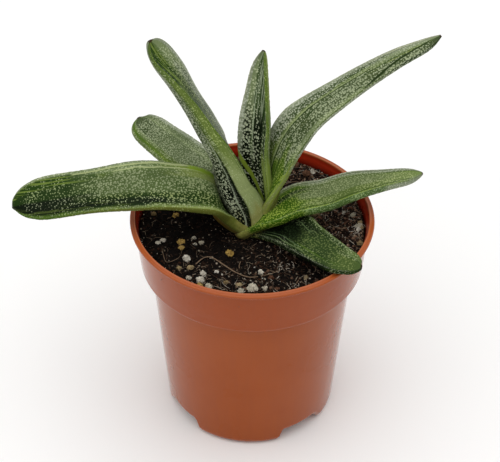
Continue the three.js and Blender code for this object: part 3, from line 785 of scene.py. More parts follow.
def pot_plastic(settings):
    """The pot's plastic, with a painted highlight on its lip and rib, and its inner wall a deeper red as
    painted shade.
    """
    # Polypropylene with a terracotta pigment, injection moulded in a polished mould. To the eye: an
    # even satin skin that turns milky towards the sides, faint upright flow streaks and cloudy pigment.
    material, node = new_material("Moulded terracotta polypropylene")
    place = node("ShaderNodeTexCoord").outputs["Object"]
    height = node("ShaderNodeSeparateXYZ", (place,)).outputs["Z"]
    flat = node(VECTOR, (place, (1, 1, 0)), operation="MULTIPLY")
    radius = node(VECTOR, (flat,), operation="LENGTH")

    # Flow streaks 2.4 mm wide and some 50 mm long, pigment clouds 36 mm across, mould grain of 0.55 mm.
    upright = node("ShaderNodeMapping", {"Vector": place, "Scale": (1, 1, 0.05)})
    streaks, clouds, grain = (
        node(NOISE, {"Vector": vector, "Scale": features(size), "Detail": detail, "Roughness": uneven})
        for vector, size, detail, uneven in (
            (upright, 2.4, 3.0, 0.6),
            (place, 36, 4.0, 0.55),
            (place, 0.55, 2.0, 0.5),
        )
    )

    # The lip's top is painted brighter and its rib paler, a painted highlight along the rolled lip; the
    # inner wall is a deeper red, darkest towards the soil, partly damp and partly painted shade inside the
    # pot. Inside is what lies within the skirt's outer face, from below the soil's top up to the lip.
    lean = (SKIRT_TOP_RADIUS - SKIRT_FOOT_RADIUS) / SKIRT_RISE
    outer = node(MATH, (height, lean, SKIRT_LINE * MM), operation="MULTIPLY_ADD")
    depth = node(MATH, (outer, radius), operation="SUBTRACT")
    inside = product(
        node,
        node(RANGE, (depth, 0.0, 0.8 * MM), **SMOOTH),
        node(RANGE, (height, 100 * MM, 101 * MM), **SMOOTH),
        node(RANGE, (height, 116.8 * MM, 117.6 * MM, 1.0, 0.0), **SMOOTH),
    )
    # Painted highlight: the rib at the lip's inner edge is painted paler.
    rib = product(
        node,
        node(RANGE, (radius, 57.9 * MM, 58.3 * MM, 1.0, 0.0), **SMOOTH),
        node(RANGE, (height, 117.2 * MM, 117.7 * MM), **SMOOTH),
    )
    # Painted shade, partly damp: the inner wall darkens downwards from 115.5 mm towards the soil.
    dry = node(RANGE, (height, 109 * MM, 115.5 * MM), **SMOOTH)
    body, skirt, lip, inner = (
        (*colour, 1)
        for colour in (
            settings.body_colour,
            settings.skirt_colour,
            settings.lip_and_highlight_colour,
            settings.shaded_inner_colour,
        )
    )
    coloured = layered(
        node,
        body,
        (node(RANGE, (height, 88.9 * MM, 92.9 * MM), **SMOOTH), skirt),
        (node(RANGE, (streaks, 0.35, 0.7, 0.0, 0.2), **SMOOTH), linear("#8a3f14")),
        (node(RANGE, (clouds, 0.4, 0.68, 0.0, 0.2), **SMOOTH), linear("#a85424")),
        (node(RANGE, (height, 116.4 * MM, 117.3 * MM), **SMOOTH), lip),
        (inside, layered(node, linear("#560c04"), (dry, inner))),
        (rib, linear("#b2613a")),
    )
    low, high = settings.roughness - 0.05, settings.roughness + 0.07
    fine = product(node, grain, 0.4)
    end_material(
        node,
        {
            "Base Color": coloured,
            "Roughness": node(RANGE, (clouds, 0.3, 0.7, low, high), **SMOOTH),
            "IOR": 1.49,
            "Specular IOR Level": 0.02,
            "Coat Weight": 0.9,
            "Coat IOR": 1.34,
            "Coat Roughness": 0.12,
        },
        node(MATH, (streaks, 0.6, fine), operation="MULTIPLY_ADD"),
        0.12,
        0.2,
    )
    return material


def drilled(piece, centres, drain_radius):
    """Cuts the round drain holes through the pocket roofs."""
    points, faces, ring = [], [], range(DRAIN_SIDES)
    for x, y in centres:
        low = len(points)
        high = low + DRAIN_SIDES
        for z in DRAIN_CUT:
            for step in ring:
                turn = 2 * math.pi * step / DRAIN_SIDES
                points.append((x + drain_radius * math.cos(turn), y + drain_radius * math.sin(turn), z))
        for i in ring:
            after = (i + 1) % DRAIN_SIDES
            faces.append((low + i, low + after, high + after, high + i))
        faces += [[high - 1 - i for i in ring], [high + i for i in ring]]
    cutter = new_object("drain_cutter", new_mesh("drain_cutter", points, faces))
    modifier = piece.modifiers.new("Drains", "BOOLEAN")
    modifier.operation = "DIFFERENCE"
    modifier.object = cutter
    modifier.solver = "EXACT"
    return plain(piece, cutter)


# ---------------------------------------------------------------- soil


def soil_height(x, y):
    """Height of the soil's surface: crossing waves, fine relief, banked up against the back wall."""
    waves = (
        math.sin(x * 0.31 + 1.3) * math.cos(y * 0.27 + 0.4)
        + 0.6 * math.sin(x * 0.71 - y * 0.53)
        + 0.4 * math.cos(x * 0.43 + y * 0.97 + 2)
    )
    fine = noise.fractal(Vector((x * 0.5, y * 0.5, 3.7)), 0.9, 2.1, 4)
    out = math.hypot(x, y)
    calm = min(max((math.hypot(x - STEM_X, y - STEM_Y) - 9) / 8, 0), 1)
    edge = min(max((SOIL_EDGE_RADIUS - out) / 4, 0), 1)
    reach = min(max((out - BANK_START) / (SOIL_EDGE_RADIUS - BANK_START), 0), 1)
    bank = BANK * reach**1.6 * (0.5 + 0.5 * math.cos(math.atan2(y, x) - BANK_TURN))
    return SOIL_TOP + bank + (0.8 * waves * calm + 0.6 * fine) * edge - 0.3 * (1 - edge)


def ring_of(radius, sides):
    """Points x, y evenly round a circle."""
    turns = (2 * math.pi * side / sides for side in range(sides))
    return [(radius * math.cos(turn), radius * math.sin(turn)) for turn in turns]


def soil_surface(rings, sides):
    """Points and faces of the soil's top, from the middle out."""
    points = [(0, 0, soil_height(0, 0))]
    for ring in range(1, rings + 1):
        radius = SOIL_EDGE_RADIUS * ring / rings
        points += [(x, y, soil_height(x, y)) for x, y in ring_of(radius, sides)]
    faces = [(0, 1 + side, 1 + (side + 1) % sides) for side in range(sides)]
    for ring in range(rings - 1):
        here, there = 1 + ring * sides, 1 + (ring + 1) * sides
        for side in range(sides):
            after = (side + 1) % sides
            faces.append((here + side, there + side, there + after, here + after))
    return points, faces


def soil_body(rings, sides):
    """The whole plug of soil as a closed mesh, standing on the pot's floor."""
    points, faces = soil_surface(rings, sides)
    outer = 1 + (rings - 1) * sides
    for radius, height in SOIL_BELOW:
        first = len(points)
        points += [(x, y, height) for x, y in ring_of(radius, sides)]
        for side in range(sides):
            after = (side + 1) % sides
            faces.append((outer + side, first + side, first + after, outer + after))
        outer = first
    points.append((0, 0, height))
    faces += [(outer + side, len(points) - 1, outer + (side + 1) % sides) for side in range(sides)]
    return new_mesh("soil_dressed", points, faces)


def toned(node, instances, seed):
    """Draws a tone for each instance, from which its colour is picked."""
    tone = node(RANDOM, {"Min": 0.0, "Max": 1.0, "Seed": seed}, data_type="FLOAT")
    inputs = {"Geometry": instances, "Name": "tone", "Value": tone}
    return node("GeometryNodeStoreNamedAttribute", inputs, data_type="FLOAT", domain="INSTANCE")


def scatter_tree():
    """Scatters rough lumps over a surface, or stands one on each loose point."""
    tree, node, given = new_tree(
        "Loose crumbs",
        {
            "Density": 0.5,
            "Smallest": 0.3 * MM,
            "Largest": 1.0 * MM,
            "Favour Small": 2.5,
            "Flatness": 0.65,
            "Roughness": 0.4,
            "Bump Size": 1.1 * MM,
            "Detail": 1,
            "Seed": 3,
            "On Points": False,
            "Material": None,
        },
    )
    ground, on_points, seed = given["Geometry"], given["On Points"], given["Seed"]
    smallest, largest = given["Smallest"], given["Largest"]
    spread = node(
        "GeometryNodeDistributePointsOnFaces",
        {"Mesh": ground, "Density": given["Density"], "Seed": seed},
    )
    chosen = node("GeometryNodeSwitch", (on_points, spread, ground), input_type="GEOMETRY")
    lump = node("GeometryNodeMeshIcoSphere", {"Radius": 1.0, "Subdivisions": given["Detail"]})

    # A lump's size is drawn, or stated on its point.
    draw = node(RANDOM, {"Min": 0.0, "Max": 1.0, "Seed": seed}, data_type="FLOAT")
    skewed = node(MATH, (draw, given["Favour Small"]), operation="POWER")
    spare = node(MATH, (largest, smallest), operation="SUBTRACT")
    drawn = node(MATH, (skewed, spare, smallest), operation="MULTIPLY_ADD")
    stated = node("GeometryNodeInputNamedAttribute", {"Name": "lump_radius"}, data_type="FLOAT")
    size = node("GeometryNodeSwitch", (on_points, drawn, stated), input_type="FLOAT")
    uneven = node(
        RANDOM,
        {"Min": (0.75, 0.75, 0.8), "Max": (1.25, 1.1, 1.15), "Seed": 5},
        data_type="FLOAT_VECTOR",
    )
    flat = node("ShaderNodeCombineXYZ", (size, size, product(node, size, given["Flatness"])))
    scale = node(VECTOR, (uneven, flat), operation="MULTIPLY")
    turn = node(
        RANDOM,
        {"Min": (-0.6, -0.6, 0.0), "Max": (0.6, 0.6, FULL_TURN), "Seed": 11},
        data_type="FLOAT_VECTOR",
    )
    placed = node(
        "GeometryNodeInstanceOnPoints",
        {"Points": chosen, "Instance": lump, "Rotation": turn, "Scale": scale},
    )
    real = node("GeometryNodeRealizeInstances", {"Geometry": toned(node, placed, 29)})

    # Every point of a lump is pushed about, so that no two are alike.
    fineness = node(MATH, (1.0, given["Bump Size"]), operation="DIVIDE")
    wobble = node(
        NOISE,
        {
            "Vector": node("GeometryNodeInputPosition"),
            "Scale": fineness,
            "Detail": 3.0,
            "Roughness": 0.85,
        },
    ).outputs["Color"]
    centred = node(VECTOR, (wobble, (0.5, 0.5, 0.5)), operation="SUBTRACT")
    moved = node(VECTOR, (centred, product(node, given["Roughness"], largest)), operation="SCALE")
    rough = node("GeometryNodeSetPosition", {"Geometry": real, "Offset": moved})
    end_tree(node, rough, given["Material"])
    return tree


def litter_tree():
    """Scatters short bent fibres over a surface, more of them to its right and front."""
    tree, node, given = new_tree(
        "Loose fibres",
        {
            "Density": 90000.0,
            "Shortest": 1.5 * MM,
            "Longest": 6.0 * MM,
            "Thickness": 0.11 * MM,
            "Lift": 0.45 * MM,
            "Seed": 8,
            "Material": None,
        },
    )
    seed = given["Seed"]
    place = node("ShaderNodeSeparateXYZ", (node("GeometryNodeInputPosition"),)).outputs
    rightward = node(MATH, (place["Y"], -0.5, place["X"]), operation="MULTIPLY_ADD")
    share = node(RANGE, (rightward, -40 * MM, 20 * MM, 0.35, 1.3), **SMOOTH)
    spread = node(
        "GeometryNodeDistributePointsOnFaces",
        {"Mesh": given["Geometry"], "Density": product(node, given["Density"], share), "Seed": seed},
    )
    bend = node(
        "GeometryNodeCurveQuadraticBezier",
        {"Resolution": 5, "Start": (-0.5, 0, 0), "Middle": (0.1, 0.3, 0.12), "End": (0.5, 0, 0)},
    )
    length = node(
        RANDOM, {"Min": given["Shortest"], "Max": given["Longest"], "Seed": seed}, data_type="FLOAT"
    )
    sideways = node(RANDOM, {"Min": -1.2, "Max": 1.2, "Seed": 17}, data_type="FLOAT")
    size = node("ShaderNodeCombineXYZ", (length, product(node, length, sideways), length))
    turn = node(
        RANDOM,
        {"Min": (-0.3, -0.3, 0.0), "Max": (0.3, 0.3, FULL_TURN), "Seed": 23},
        data_type="FLOAT_VECTOR",
    )
    placed = node(
        "GeometryNodeInstanceOnPoints",
        {"Points": spread, "Instance": bend, "Rotation": turn, "Scale": size},
    )
    raised = node("ShaderNodeCombineXYZ", {"Z": given["Lift"]})
    lifted = node(
        "GeometryNodeTranslateInstances",
        {"Instances": toned(node, placed, 31), "Translation": raised, "Local Space": False},
    )
    real = node("GeometryNodeRealizeInstances", {"Geometry": lifted})
    ring = node("GeometryNodeCurvePrimitiveCircle", {"Resolution": 3, "Radius": 1.0})
    tube = node(
        "GeometryNodeCurveToMesh",
        {"Curve": real, "Profile Curve": ring, "Scale": given["Thickness"], "Fill Caps": True},
    )
    end_tree(node, tube, given["Material"])
    return tree


def root_tree():
    """Gives each chain of edges a smooth run and a round section that thins to its end."""
    tree, node, given = new_tree("Fine roots", {"Material": None, "Sides": 6})
    line = node("GeometryNodeMeshToCurve", {"Mesh": given["Geometry"]})
    bent = node("GeometryNodeCurveSplineType", {"Curve": line}, spline_type="CATMULL_ROM")
    even = node("GeometryNodeResampleCurve", {"Curve": bent, "Count": 28})
    stated = node("GeometryNodeInputNamedAttribute", {"Name": "root_radius"}, data_type="FLOAT")
    taper = node(RANGE, (node("GeometryNodeSplineParameter"), 0.3, 1.0, 1.0, 0.45), **SMOOTH)
    ring = node("GeometryNodeCurvePrimitiveCircle", {"Resolution": given["Sides"], "Radius": 1.0})
    thickness = product(node, stated, taper)
    tube = node(
        "GeometryNodeCurveToMesh",
        {"Curve": even, "Profile Curve": ring, "Scale": thickness, "Fill Caps": True},
    )
    end_tree(node, tube, given["Material"])
    return tree


def dryness_and_light(node, place):
    """How dry and how lit the soil looks: darker at the front left, browner and brighter at the back right,
    partly drier soil and partly painted light.
    """
    split = node("ShaderNodeSeparateXYZ", (place,)).outputs
    backward = node(MATH, (split["X"], split["Y"]), operation="ADD")
    return node(RANGE, (backward, -5 * MM, 45 * MM), **SMOOTH)


def painted_leaf_shade(node, place):
    """How dark the soil is made under the plant's leaves, partly damp and partly painted shade: darkest
    round the plant's foot and to its left.
    """
    off = node(VECTOR, (place, (-20 * MM, -4 * MM, SOIL_TOP * MM)), operation="DISTANCE")
    return node(RANGE, (off, 14 * MM, 42 * MM, 1.0, 0.0), **SMOOTH)


def potting_soil():
    """The ground of the soil, seen between the loose crumbs."""
    # Peat potting mix, damp and pressed down by hand. To the eye: near black and matt, a little browner
    # towards the back right, partly where it dries and partly as painted light, with rare pale specks of
    # sand. IOR 1.5, rough as earth.
    material, node = new_material("Damp peat potting mix")
    place = node("ShaderNodeTexCoord").outputs["Object"]
    # Crumbs of 3.8 mm, broken down to a thirtieth of that, and a cell for a speck every 2.1 mm.
    patches = node(
        NOISE, {"Vector": place, "Scale": features(3.8), "Detail": 5.0, "Roughness": 0.7}
    )
    drier_and_lit = node(MATH, (dryness_and_light(node, place), 0.12, patches), operation="MULTIPLY_ADD")
    ramp = node("ShaderNodeValToRGB", (drier_and_lit,))
    set_ramp(ramp, [(0.3, "#050403"), (0.5, "#0a0604"), (0.66, "#180f0a"), (0.8, "#3a2417")])
    specks = node(CELLS, {"Vector": place, "Scale": features(2.1), "Randomness": 1.0})
    chance = node("ShaderNodeSeparateColor", (specks.outputs["Color"],))
    speck = node(RANGE, (specks, 0.34, 0.2), **SMOOTH)
    rare = node(RANGE, (chance, 0.86, 0.9), **SMOOTH)
    coloured = layered(node, ramp, (product(node, speck, rare), linear("#8f8272")))
    look = {"Base Color": coloured, "Roughness": 0.9, "Specular IOR Level": 0.1}
    end_material(node, look, patches, 0.8, 0.6)
    return material


def crumb_material(name, stops, roughness=0.9, drier_and_lit=0.0, leaf_shade=0.0):
    """Loose grains whose colour is drawn for each one from the stops, with pits 0.7 mm apart whose hollows
    are darkened as painted shade.
    """
    material, node = new_material(name)
    tone = node("ShaderNodeAttribute", attribute_name="tone").outputs["Fac"]
    place = node("ShaderNodeTexCoord").outputs["Object"]
    # Painted light, partly drier grains: the tone rises towards the back right.
    if drier_and_lit:
        tone = node(MATH, (dryness_and_light(node, place), drier_and_lit, tone), operation="MULTIPLY_ADD")
    # Painted shade, partly damp: the tone falls under the plant's leaves.
    if leaf_shade:
        tone = node(MATH, (painted_leaf_shade(node, place), -leaf_shade, tone), operation="MULTIPLY_ADD")
    pits = node(NOISE, {"Vector": place, "Scale": features(0.67), "Detail": 3.0, "Roughness": 0.7})
    # Painted shade: the pits' hollows are darkened.
    dark = node(RANGE, (pits, 0.3, 0.7, 0.45, 0.0), **SMOOTH)
    grain = set_ramp(node("ShaderNodeValToRGB", (tone,)), stops)
    coloured = layered(node, grain, (dark, linear("#15100b")))
    look = {"Base Color": coloured, "Roughness": roughness, "Specular IOR Level": 0.1}
    end_material(node, look, pits, 0.6, 0.3)
    return material


# ---------------------------------------------------------------- leaves


def along_stations(stations, places):
    """Stations at any places along the leaf, on a Catmull-Rom curve."""
    rows = np.array(stations, float)
    rows = np.vstack([2 * rows[0] - rows[1], rows, 2 * rows[-1] - rows[-2]])
    span = np.minimum(places.astype(int), len(stations) - 2)
    t = (places - span)[:, None]
    before, start, end, after = (rows[span + i] for i in range(4))
    square = 2 * before - 5 * start + 4 * end - after
    cube = 3 * start - before - 3 * end + after
    return 0.5 * (2 * start + (end - before) * t + square * t**2 + cube * t**3)


def fading(foot, blade, foot_share, close, along, taper):
    """A thickness that goes from the foot's to the blade's, tapers and closes at the tip."""
    return (blade + (foot - blade) * foot_share) * close * (1 - taper * along)


def leaf_rings(leaf, per_span, face_steps, margin_steps):
    """Points of the leaf's skin [ring, side], their places round the section and along the leaf."""
    stations = leaf["stations"]
    spans = len(stations) - 1
    # Rings stand closer together by the foot and towards the tip.
    close_foot = np.linspace(0, 0.4, per_span)
    even = np.linspace(0, spans, spans * per_span + 1)
    close_tip = np.linspace(spans - 1, spans, 3 * per_span)
    places = np.unique(np.concatenate([close_foot, even, close_tip]))
    rows = along_stations(stations, places)
    middle = rows[:, :3]
    width = np.maximum(rows[:, 3], THINNEST)
    roll = np.radians(rows[:, 4])
    travelled = np.concatenate([[0], np.cumsum(np.linalg.norm(np.diff(middle, axis=0), axis=1))])
    along = travelled / travelled[-1]

    tangent = np.gradient(middle, travelled, axis=0)
    tangent /= np.linalg.norm(tangent, axis=1)[:, None]
    turn = math.radians(leaf["azimuth"])
    leftward = np.array([-math.sin(turn), math.cos(turn), 0])
    level = leftward - tangent * (tangent @ leftward)[:, None]
    level /= np.linalg.norm(level, axis=1)[:, None]
    upright = np.cross(tangent, level)
    across = level * np.cos(roll)[:, None] + upright * np.sin(roll)[:, None]
    up = np.cross(tangent, across)

    past = np.clip((along - TIP_START) / (1 - TIP_START), 0, 1)
    close = np.maximum(np.sqrt(1 - past**2), TIP_CLOSE)
    foot_share = np.maximum(1 - along / leaf["foot"], 0) ** FOOT_CURVE
    left, right = (
        np.maximum(fading(foot, blade, foot_share, close, along, MARGIN_TAPER), THINNEST)
        for foot, blade in zip(*leaf["margins"])
    )
    foot_keel, blade_keel, keel_place = leaf["keel"]
    keel = fading(foot_keel, blade_keel, foot_share, close, along, KEEL_TAPER)
    keel = np.maximum(keel, THINNEST_KEEL)
    # A domed blade turns hollow by 1 mm at its foot.
    hollow = (leaf["crown"] + 1) * foot_share if leaf["crown"] > 0 else 0
    crown = (leaf["crown"] - hollow) * close

    steps = np.linspace(0, 1, face_steps + 1)
    bends = np.arange(1, margin_steps) / margin_steps
    around = np.concatenate([steps, 1 + bends, 2 + steps, 3 + bends])
    # The horny margins carry fine teeth.
    seed = leaf["azimuth"]
    teeth = np.array([noise.noise(Vector((TEETH_RATE * mm, seed, 0))) for mm in travelled]) * (1 - past)
    width = width + TEETH_OUT * teeth
    left_bulge = MARGIN_BULGE * left + TEETH_BULGE * teeth
    right_bulge = MARGIN_BULGE * right + TEETH_BULGE * teeth
    sideways, height = np.zeros((2, len(places), len(around)))
    for side, place in enumerate(around):
        if place <= 1:
            u = 2 * place - 1
            sideways[:, side] = u * width
            height[:, side] = crown * (1 - u * u)
        elif place < 2:
            bend = math.pi * (place - 1)
            sideways[:, side] = width + left_bulge * math.sin(bend)
            height[:, side] = -left / 2 * (1 - math.cos(bend))
        elif place <= 3:
            u = 1 - 2 * (place - 2)
            share = (1 - u) / (1 - keel_place) if u > keel_place else (1 + u) / (1 + keel_place)
            depth = 0.8 * keel * math.sin(math.pi / 2 * min(share, 1)) ** 1.1
            sideways[:, side] = u * width * KEEL_INSET
            height[:, side] = -left * (1 + u) / 2 - right * (1 - u) / 2 - depth
        else:
            bend = math.pi * (place - 3)
            sideways[:, side] = -width - right_bulge * math.sin(bend)
            height[:, side] = -right / 2 * (1 + math.cos(bend))
    opened = np.sqrt(1 - np.clip(1 - travelled / FOOT_ROUND, 0, 1) ** 2)
    rounded = np.maximum(opened, FOOT_CLOSE)[:, None]
    sideways *= rounded
    height = (height + ((left + right) / 4)[:, None]) * rounded
    points = middle[:, None] + across[:, None] * sideways[..., None] + up[:, None] * height[..., None]
    return points, around, travelled


def leaf_mesh(leaf, settings):
    """The leaf as a closed skin with two UV maps.

    place holds the place round the section (0-1 for 0-4) and the share of the length; skin holds
    real distances, in units of SKIN_MAP.
    """
    rings_per_span, face_steps = settings.rings_per_span, settings.face_steps
    points, around, travelled = leaf_rings(leaf, rings_per_span, face_steps, MARGIN_STEPS)
    rings, sides = points.shape[:2]
    hop = np.linalg.norm(np.roll(points, -1, axis=1) - points, axis=2)
    spread = np.concatenate([np.zeros((rings, 1)), np.cumsum(hop, axis=1)], axis=1)
    spread -= spread[:, sides // 4][:, None]
    spread /= SKIN_MAP
    far = travelled / SKIN_MAP
    points = np.clip(points * MM, np.array(cad_low), np.array(cad_high)) / MM

    centres = [points[0].mean(axis=0), points[-1].mean(axis=0)]
    vertices = np.vstack([points.reshape(-1, 3), centres])
    faces, place_uv, skin_uv = [], [], []
    places = np.append(around, 4.0) / 4
    for ring in range(rings - 1):
        for side in range(sides):
            after = (side + 1) % sides
            here, there = ring * sides, (ring + 1) * sides
            faces.append((here + side, there + side, there + after, here + after))
            for r, s in ((ring, side), (ring + 1, side), (ring + 1, side + 1), (ring, side + 1)):
                place_uv.append((places[s], travelled[r] / travelled[-1]))
                skin_uv.append((spread[r, s], far[r]))
    foot, tip = len(vertices) - 2, len(vertices) - 1
    last = (rings - 1) * sides
    for side in range(sides):
        after = (side + 1) % sides
        faces += [(foot, side, after), (tip, last + after, last + side)]
        place_uv += [(places[side], 0.0)] * 3 + [(places[side], 1.0)] * 3
        skin_uv += [(spread[0, side], 0.0)] * 3 + [(spread[-1, side], far[-1])] * 3
    mesh = new_mesh(leaf["name"], vertices, faces)
    for name, corners in (("place", place_uv), ("skin", skin_uv)):
        mesh.uv_layers.new(name=name).data.foreach_set("uv", np.array(corners, np.float32).ravel())
    return mesh


def band_ramp(node, place, bands, zone, columns):
    """A colour ramp round the section with one part of each band's look in one zone of the leaf.

    zone is 1 for the foot, 2 for the blade and 3 for the tip; columns picks a colour of the look,
    or two numbers that share the ramp's channels.
    """
    changes = [band for row, band in enumerate(bands) if not row or band[zone] != bands[row - 1][zone]]
    ends = [band[0] / 4 for band in changes[1:]] + [1.0]
    stops = []
    for row, (band, end) in enumerate(zip(changes, ends)):
        look = LOOKS[band[zone]]
        value = look[columns[0]] if len(columns) == 1 else [look[i] for i in columns] + [0.0, 1.0]
        start = band[0] / 4
        blur = min(BAND_BLUR, 0.35 * (end - start))
        stops.append((start + blur if row else 0.0, value))
        stops.append((end - blur if end < 1 else 1.0, value))
    return set_ramp(node("ShaderNodeValToRGB", (place,)), stops)


def pattern(node, kind, place, size, stretch=(1.0, 1.0, 1.0), **inputs):
    """A flat noise or cell pattern on the skin, whose features are size millimetres apart."""
    spread = node("ShaderNodeMapping", {"Vector": place, "Scale": stretch})
    flat = {"noise_dimensions" if kind == NOISE else "voronoi_dimensions": "2D"}
    return node(kind, {"Vector": spread, "Scale": SKIN_MAP / size, **inputs}, **flat)


def dots(node, leaf, spacing, skin_map, along, cover):
    """Dots of uneven size and shape, one to a cell: where they stand and how much they show."""
    # Soft patches across the leaf, some 8 mm long, where the dots run together or thin out.
    patches = pattern(node, NOISE, skin_map, 8.5, (0.5, 1, 1), Detail=3.0)
    uneven = node(MATH, (patches, 0.5), operation="SUBTRACT")
    patched = node(MATH, (uneven, 0.6, cover), operation="MULTIPLY_ADD")
    patched = product(node, patched, node(RANGE, (cover, 0.0, 0.12), **SMOOTH))

    ripple = pattern(node, NOISE, skin_map, 1.1, Detail=1.0).outputs["Color"]
    rippled = node(VECTOR, (ripple, (0.007, 0.007, 0), skin_map), operation="MULTIPLY_ADD")
    cells = pattern(node, CELLS, rippled, leaf["dots"] * spacing, Randomness=0.95).outputs
    size, shade, luck = node("ShaderNodeSeparateColor", (cells["Color"],)).outputs[:3]
    chosen = node(MATH, (patched, luck), operation="ADD")
    reach = product(
        node,
        node(MATH, (patched, 0.72, 0.1), operation="MULTIPLY_ADD"),
        node(RANGE, (size, 0.0, 1.0, 0.75, 1.25), **SMOOTH),
        node(RANGE, (chosen, 0.3, 0.45), **SMOOTH),
        node(RANGE, (along, 0.92, 0.98, 1.0, 0.2), **SMOOTH),
    )
    within = node(MATH, (reach, cells["Distance"]), operation="SUBTRACT")
    mask = node(RANGE, (within, -0.03, 0.08), **SMOOTH)
    # A faint haze of the dots' colour lies between crowded dots.
    shown = product(node, mask, node(RANGE, (shade, 0.0, 1.0, 0.65, 1.0), **SMOOTH))
    haze = node(RANGE, (patched, 0.35, 0.75, 0.0, 0.2), **SMOOTH)
    return mask, node(MATH, (shown, haze), operation="MAXIMUM")


def askew_lines(node, leaf, around, along):
    """The leaf's slants as layers: (share, colour)."""
    layers = []
    for low, first, high, last, half_width, colour in leaf["slants"]:
        slope = (last - first) / (high - low) / 4
        line = node(MATH, (along, slope, first / 4 - slope * low), operation="MULTIPLY_ADD")
        off = node(MATH, (around, line), operation="SUBTRACT")
        off = node(MATH, (off,), operation="ABSOLUTE")
        share = product(
            node,
            node(RANGE, (off, half_width / 6, half_width / 3, 1.0, 0.0), **SMOOTH),
            node(RANGE, (along, low - 0.02, low), **SMOOTH),
            node(RANGE, (along, high, high + 0.02, 1.0, 0.0), **SMOOTH),
        )
        layers.append((share, linear(colour)))
    return layers


def leaf_skin(leaf, settings):
    """One leaf's skin: a green ground in bands, pale raised dots and lengthwise streaks."""
    # Succulent leaf skin, grown, with a thin coat of plant wax: a soft low sheen, duller on the dots,
    # which stand up a little and are about 1 mm apart. IOR 1.45; the wax scatters, so it mirrors little.
    material, node = new_material("Waxy gasteria skin, " + leaf["name"])
    place_map, skin_map = (node("ShaderNodeUVMap", uv_map=name) for name in ("place", "skin"))
    place, along = node("ShaderNodeSeparateXYZ", (place_map,)).outputs[:2]

    # The bands' edges wander by a fraction of a millimetre, and their looks' ends by a few.
    wander = pattern(node, NOISE, skin_map, 4.5, (1, 0.4, 1), Detail=4.0)
    wander = node(MATH, (wander, 0.5), operation="SUBTRACT")
    around = node(MATH, (wander, 0.02, place), operation="MULTIPLY_ADD")
    shift = node(MATH, (wander, 0.25, along), operation="MULTIPLY_ADD")
    foot_end, blade_start, blade_end, tip_start = leaf["ends"]
    foot_share = node(RANGE, (shift, foot_end, blade_start, 1.0, 0.0), **SMOOTH)
    tip_share = node(RANGE, (shift, blade_end, tip_start), **SMOOTH)

    def zoned(*columns):
        foot, blade, tip = (
            band_ramp(node, around, leaf["bands"], zone, columns) for zone in (1, 2, 3)
        )
        return layered(node, blade, (foot_share, foot), (tip_share, tip))

    cover, streak_amount = node("ShaderNodeSeparateColor", (zoned(2, 3),)).outputs[:2]
    dot_mask, dot_share = dots(node, leaf, settings.dot_spacing, skin_map, along, cover)

    # Streaks: 0.9 mm wide and some 18 mm long, along the leaf.
    streaks = pattern(node, NOISE, skin_map, 0.9, (1, 0.05, 1), Detail=2.0)
    streaked = product(node, node(RANGE, (streaks, 0.49, 0.6), **SMOOTH), streak_amount)
    skin = layered(
        node,
        zoned(0),
        (dot_share, zoned(1)),
        (streaked, linear(leaf["streak"])),
        *askew_lines(node, leaf, around, along),
    )

    # A yellowish base where the ground is light, a brown foot, pale beads on the edges, broad changes
    # of tone and a dry dark point at the tip.
    light = node("ShaderNodeSeparateColor", (skin,)).outputs["Green"]
    edge = node(MATH, (product(node, place, 4.0), 0.5), operation="PINGPONG")
    beads = pattern(node, NOISE, skin_map, 0.9)
    tones = pattern(node, NOISE, skin_map, 17, Detail=4.0)
    base = product(
        node,
        node(RANGE, (shift, 0.03, 0.13, 0.7, 0.0), **SMOOTH),
        node(RANGE, (light, 0.01, 0.08), **SMOOTH),
    )
    bead = product(
        node,
        node(RANGE, (edge, 0.02, 0.06, 0.22, 0.0), **SMOOTH),
        node(RANGE, (beads, 0.5, 0.58), **SMOOTH),
    )
    skin = layered(
        node,
        skin,
        (base, (*settings.base_colour, 1)),
        (node(RANGE, (along, 0.0, 0.045, 0.85, 0.0), **SMOOTH), linear("#4a2e26")),
        (bead, linear("#b3b7a0")),
        (node(RANGE, (tones, 0.35, 0.7, 0.0, 0.15), **SMOOTH), linear("#26391a")),
        (node(RANGE, (along, 0.991, 0.997), **SMOOTH), (*settings.tip_colour, 1)),
    )
    smooth, rough = settings.roughness, settings.roughness + 0.14
    end_material(
        node,
        {
            "Base Color": skin,
            "Roughness": node(RANGE, (dot_mask, 0.0, 1.0, smooth, rough), **SMOOTH),
            "IOR": 1.45,
            "Specular IOR Level": 0.07,
        },
        node(MATH, (dot_mask, 0.6, product(node, streaks, 0.8)), operation="MULTIPLY_ADD"),
        0.4,
        0.25,
    )
    return material


def stem_skin():
    """The stem's skin, seen only in chinks between the leaf feet."""
    # Corky succulent stem, grown and dried: dull tan and olive with a grain of 1.4 mm, quite matt.
    material, node = new_material("Corky succulent stem")
    place = node("ShaderNodeTexCoord").outputs["Object"]
    grain = node(NOISE, {"Vector": place, "Scale": features(1.4), "Detail": 4.0})
    ramp = node("ShaderNodeValToRGB", (grain,))
    set_ramp(ramp, [(0.35, "#4a3a1c"), (0.55, "#7d6b35"), (0.7, "#8f8a4c")])
    end_material(node, {"Base Color": ramp, "Roughness": 0.75}, grain, 0.4, 0.4)
    return material


# ---------------------------------------------------------------- settings


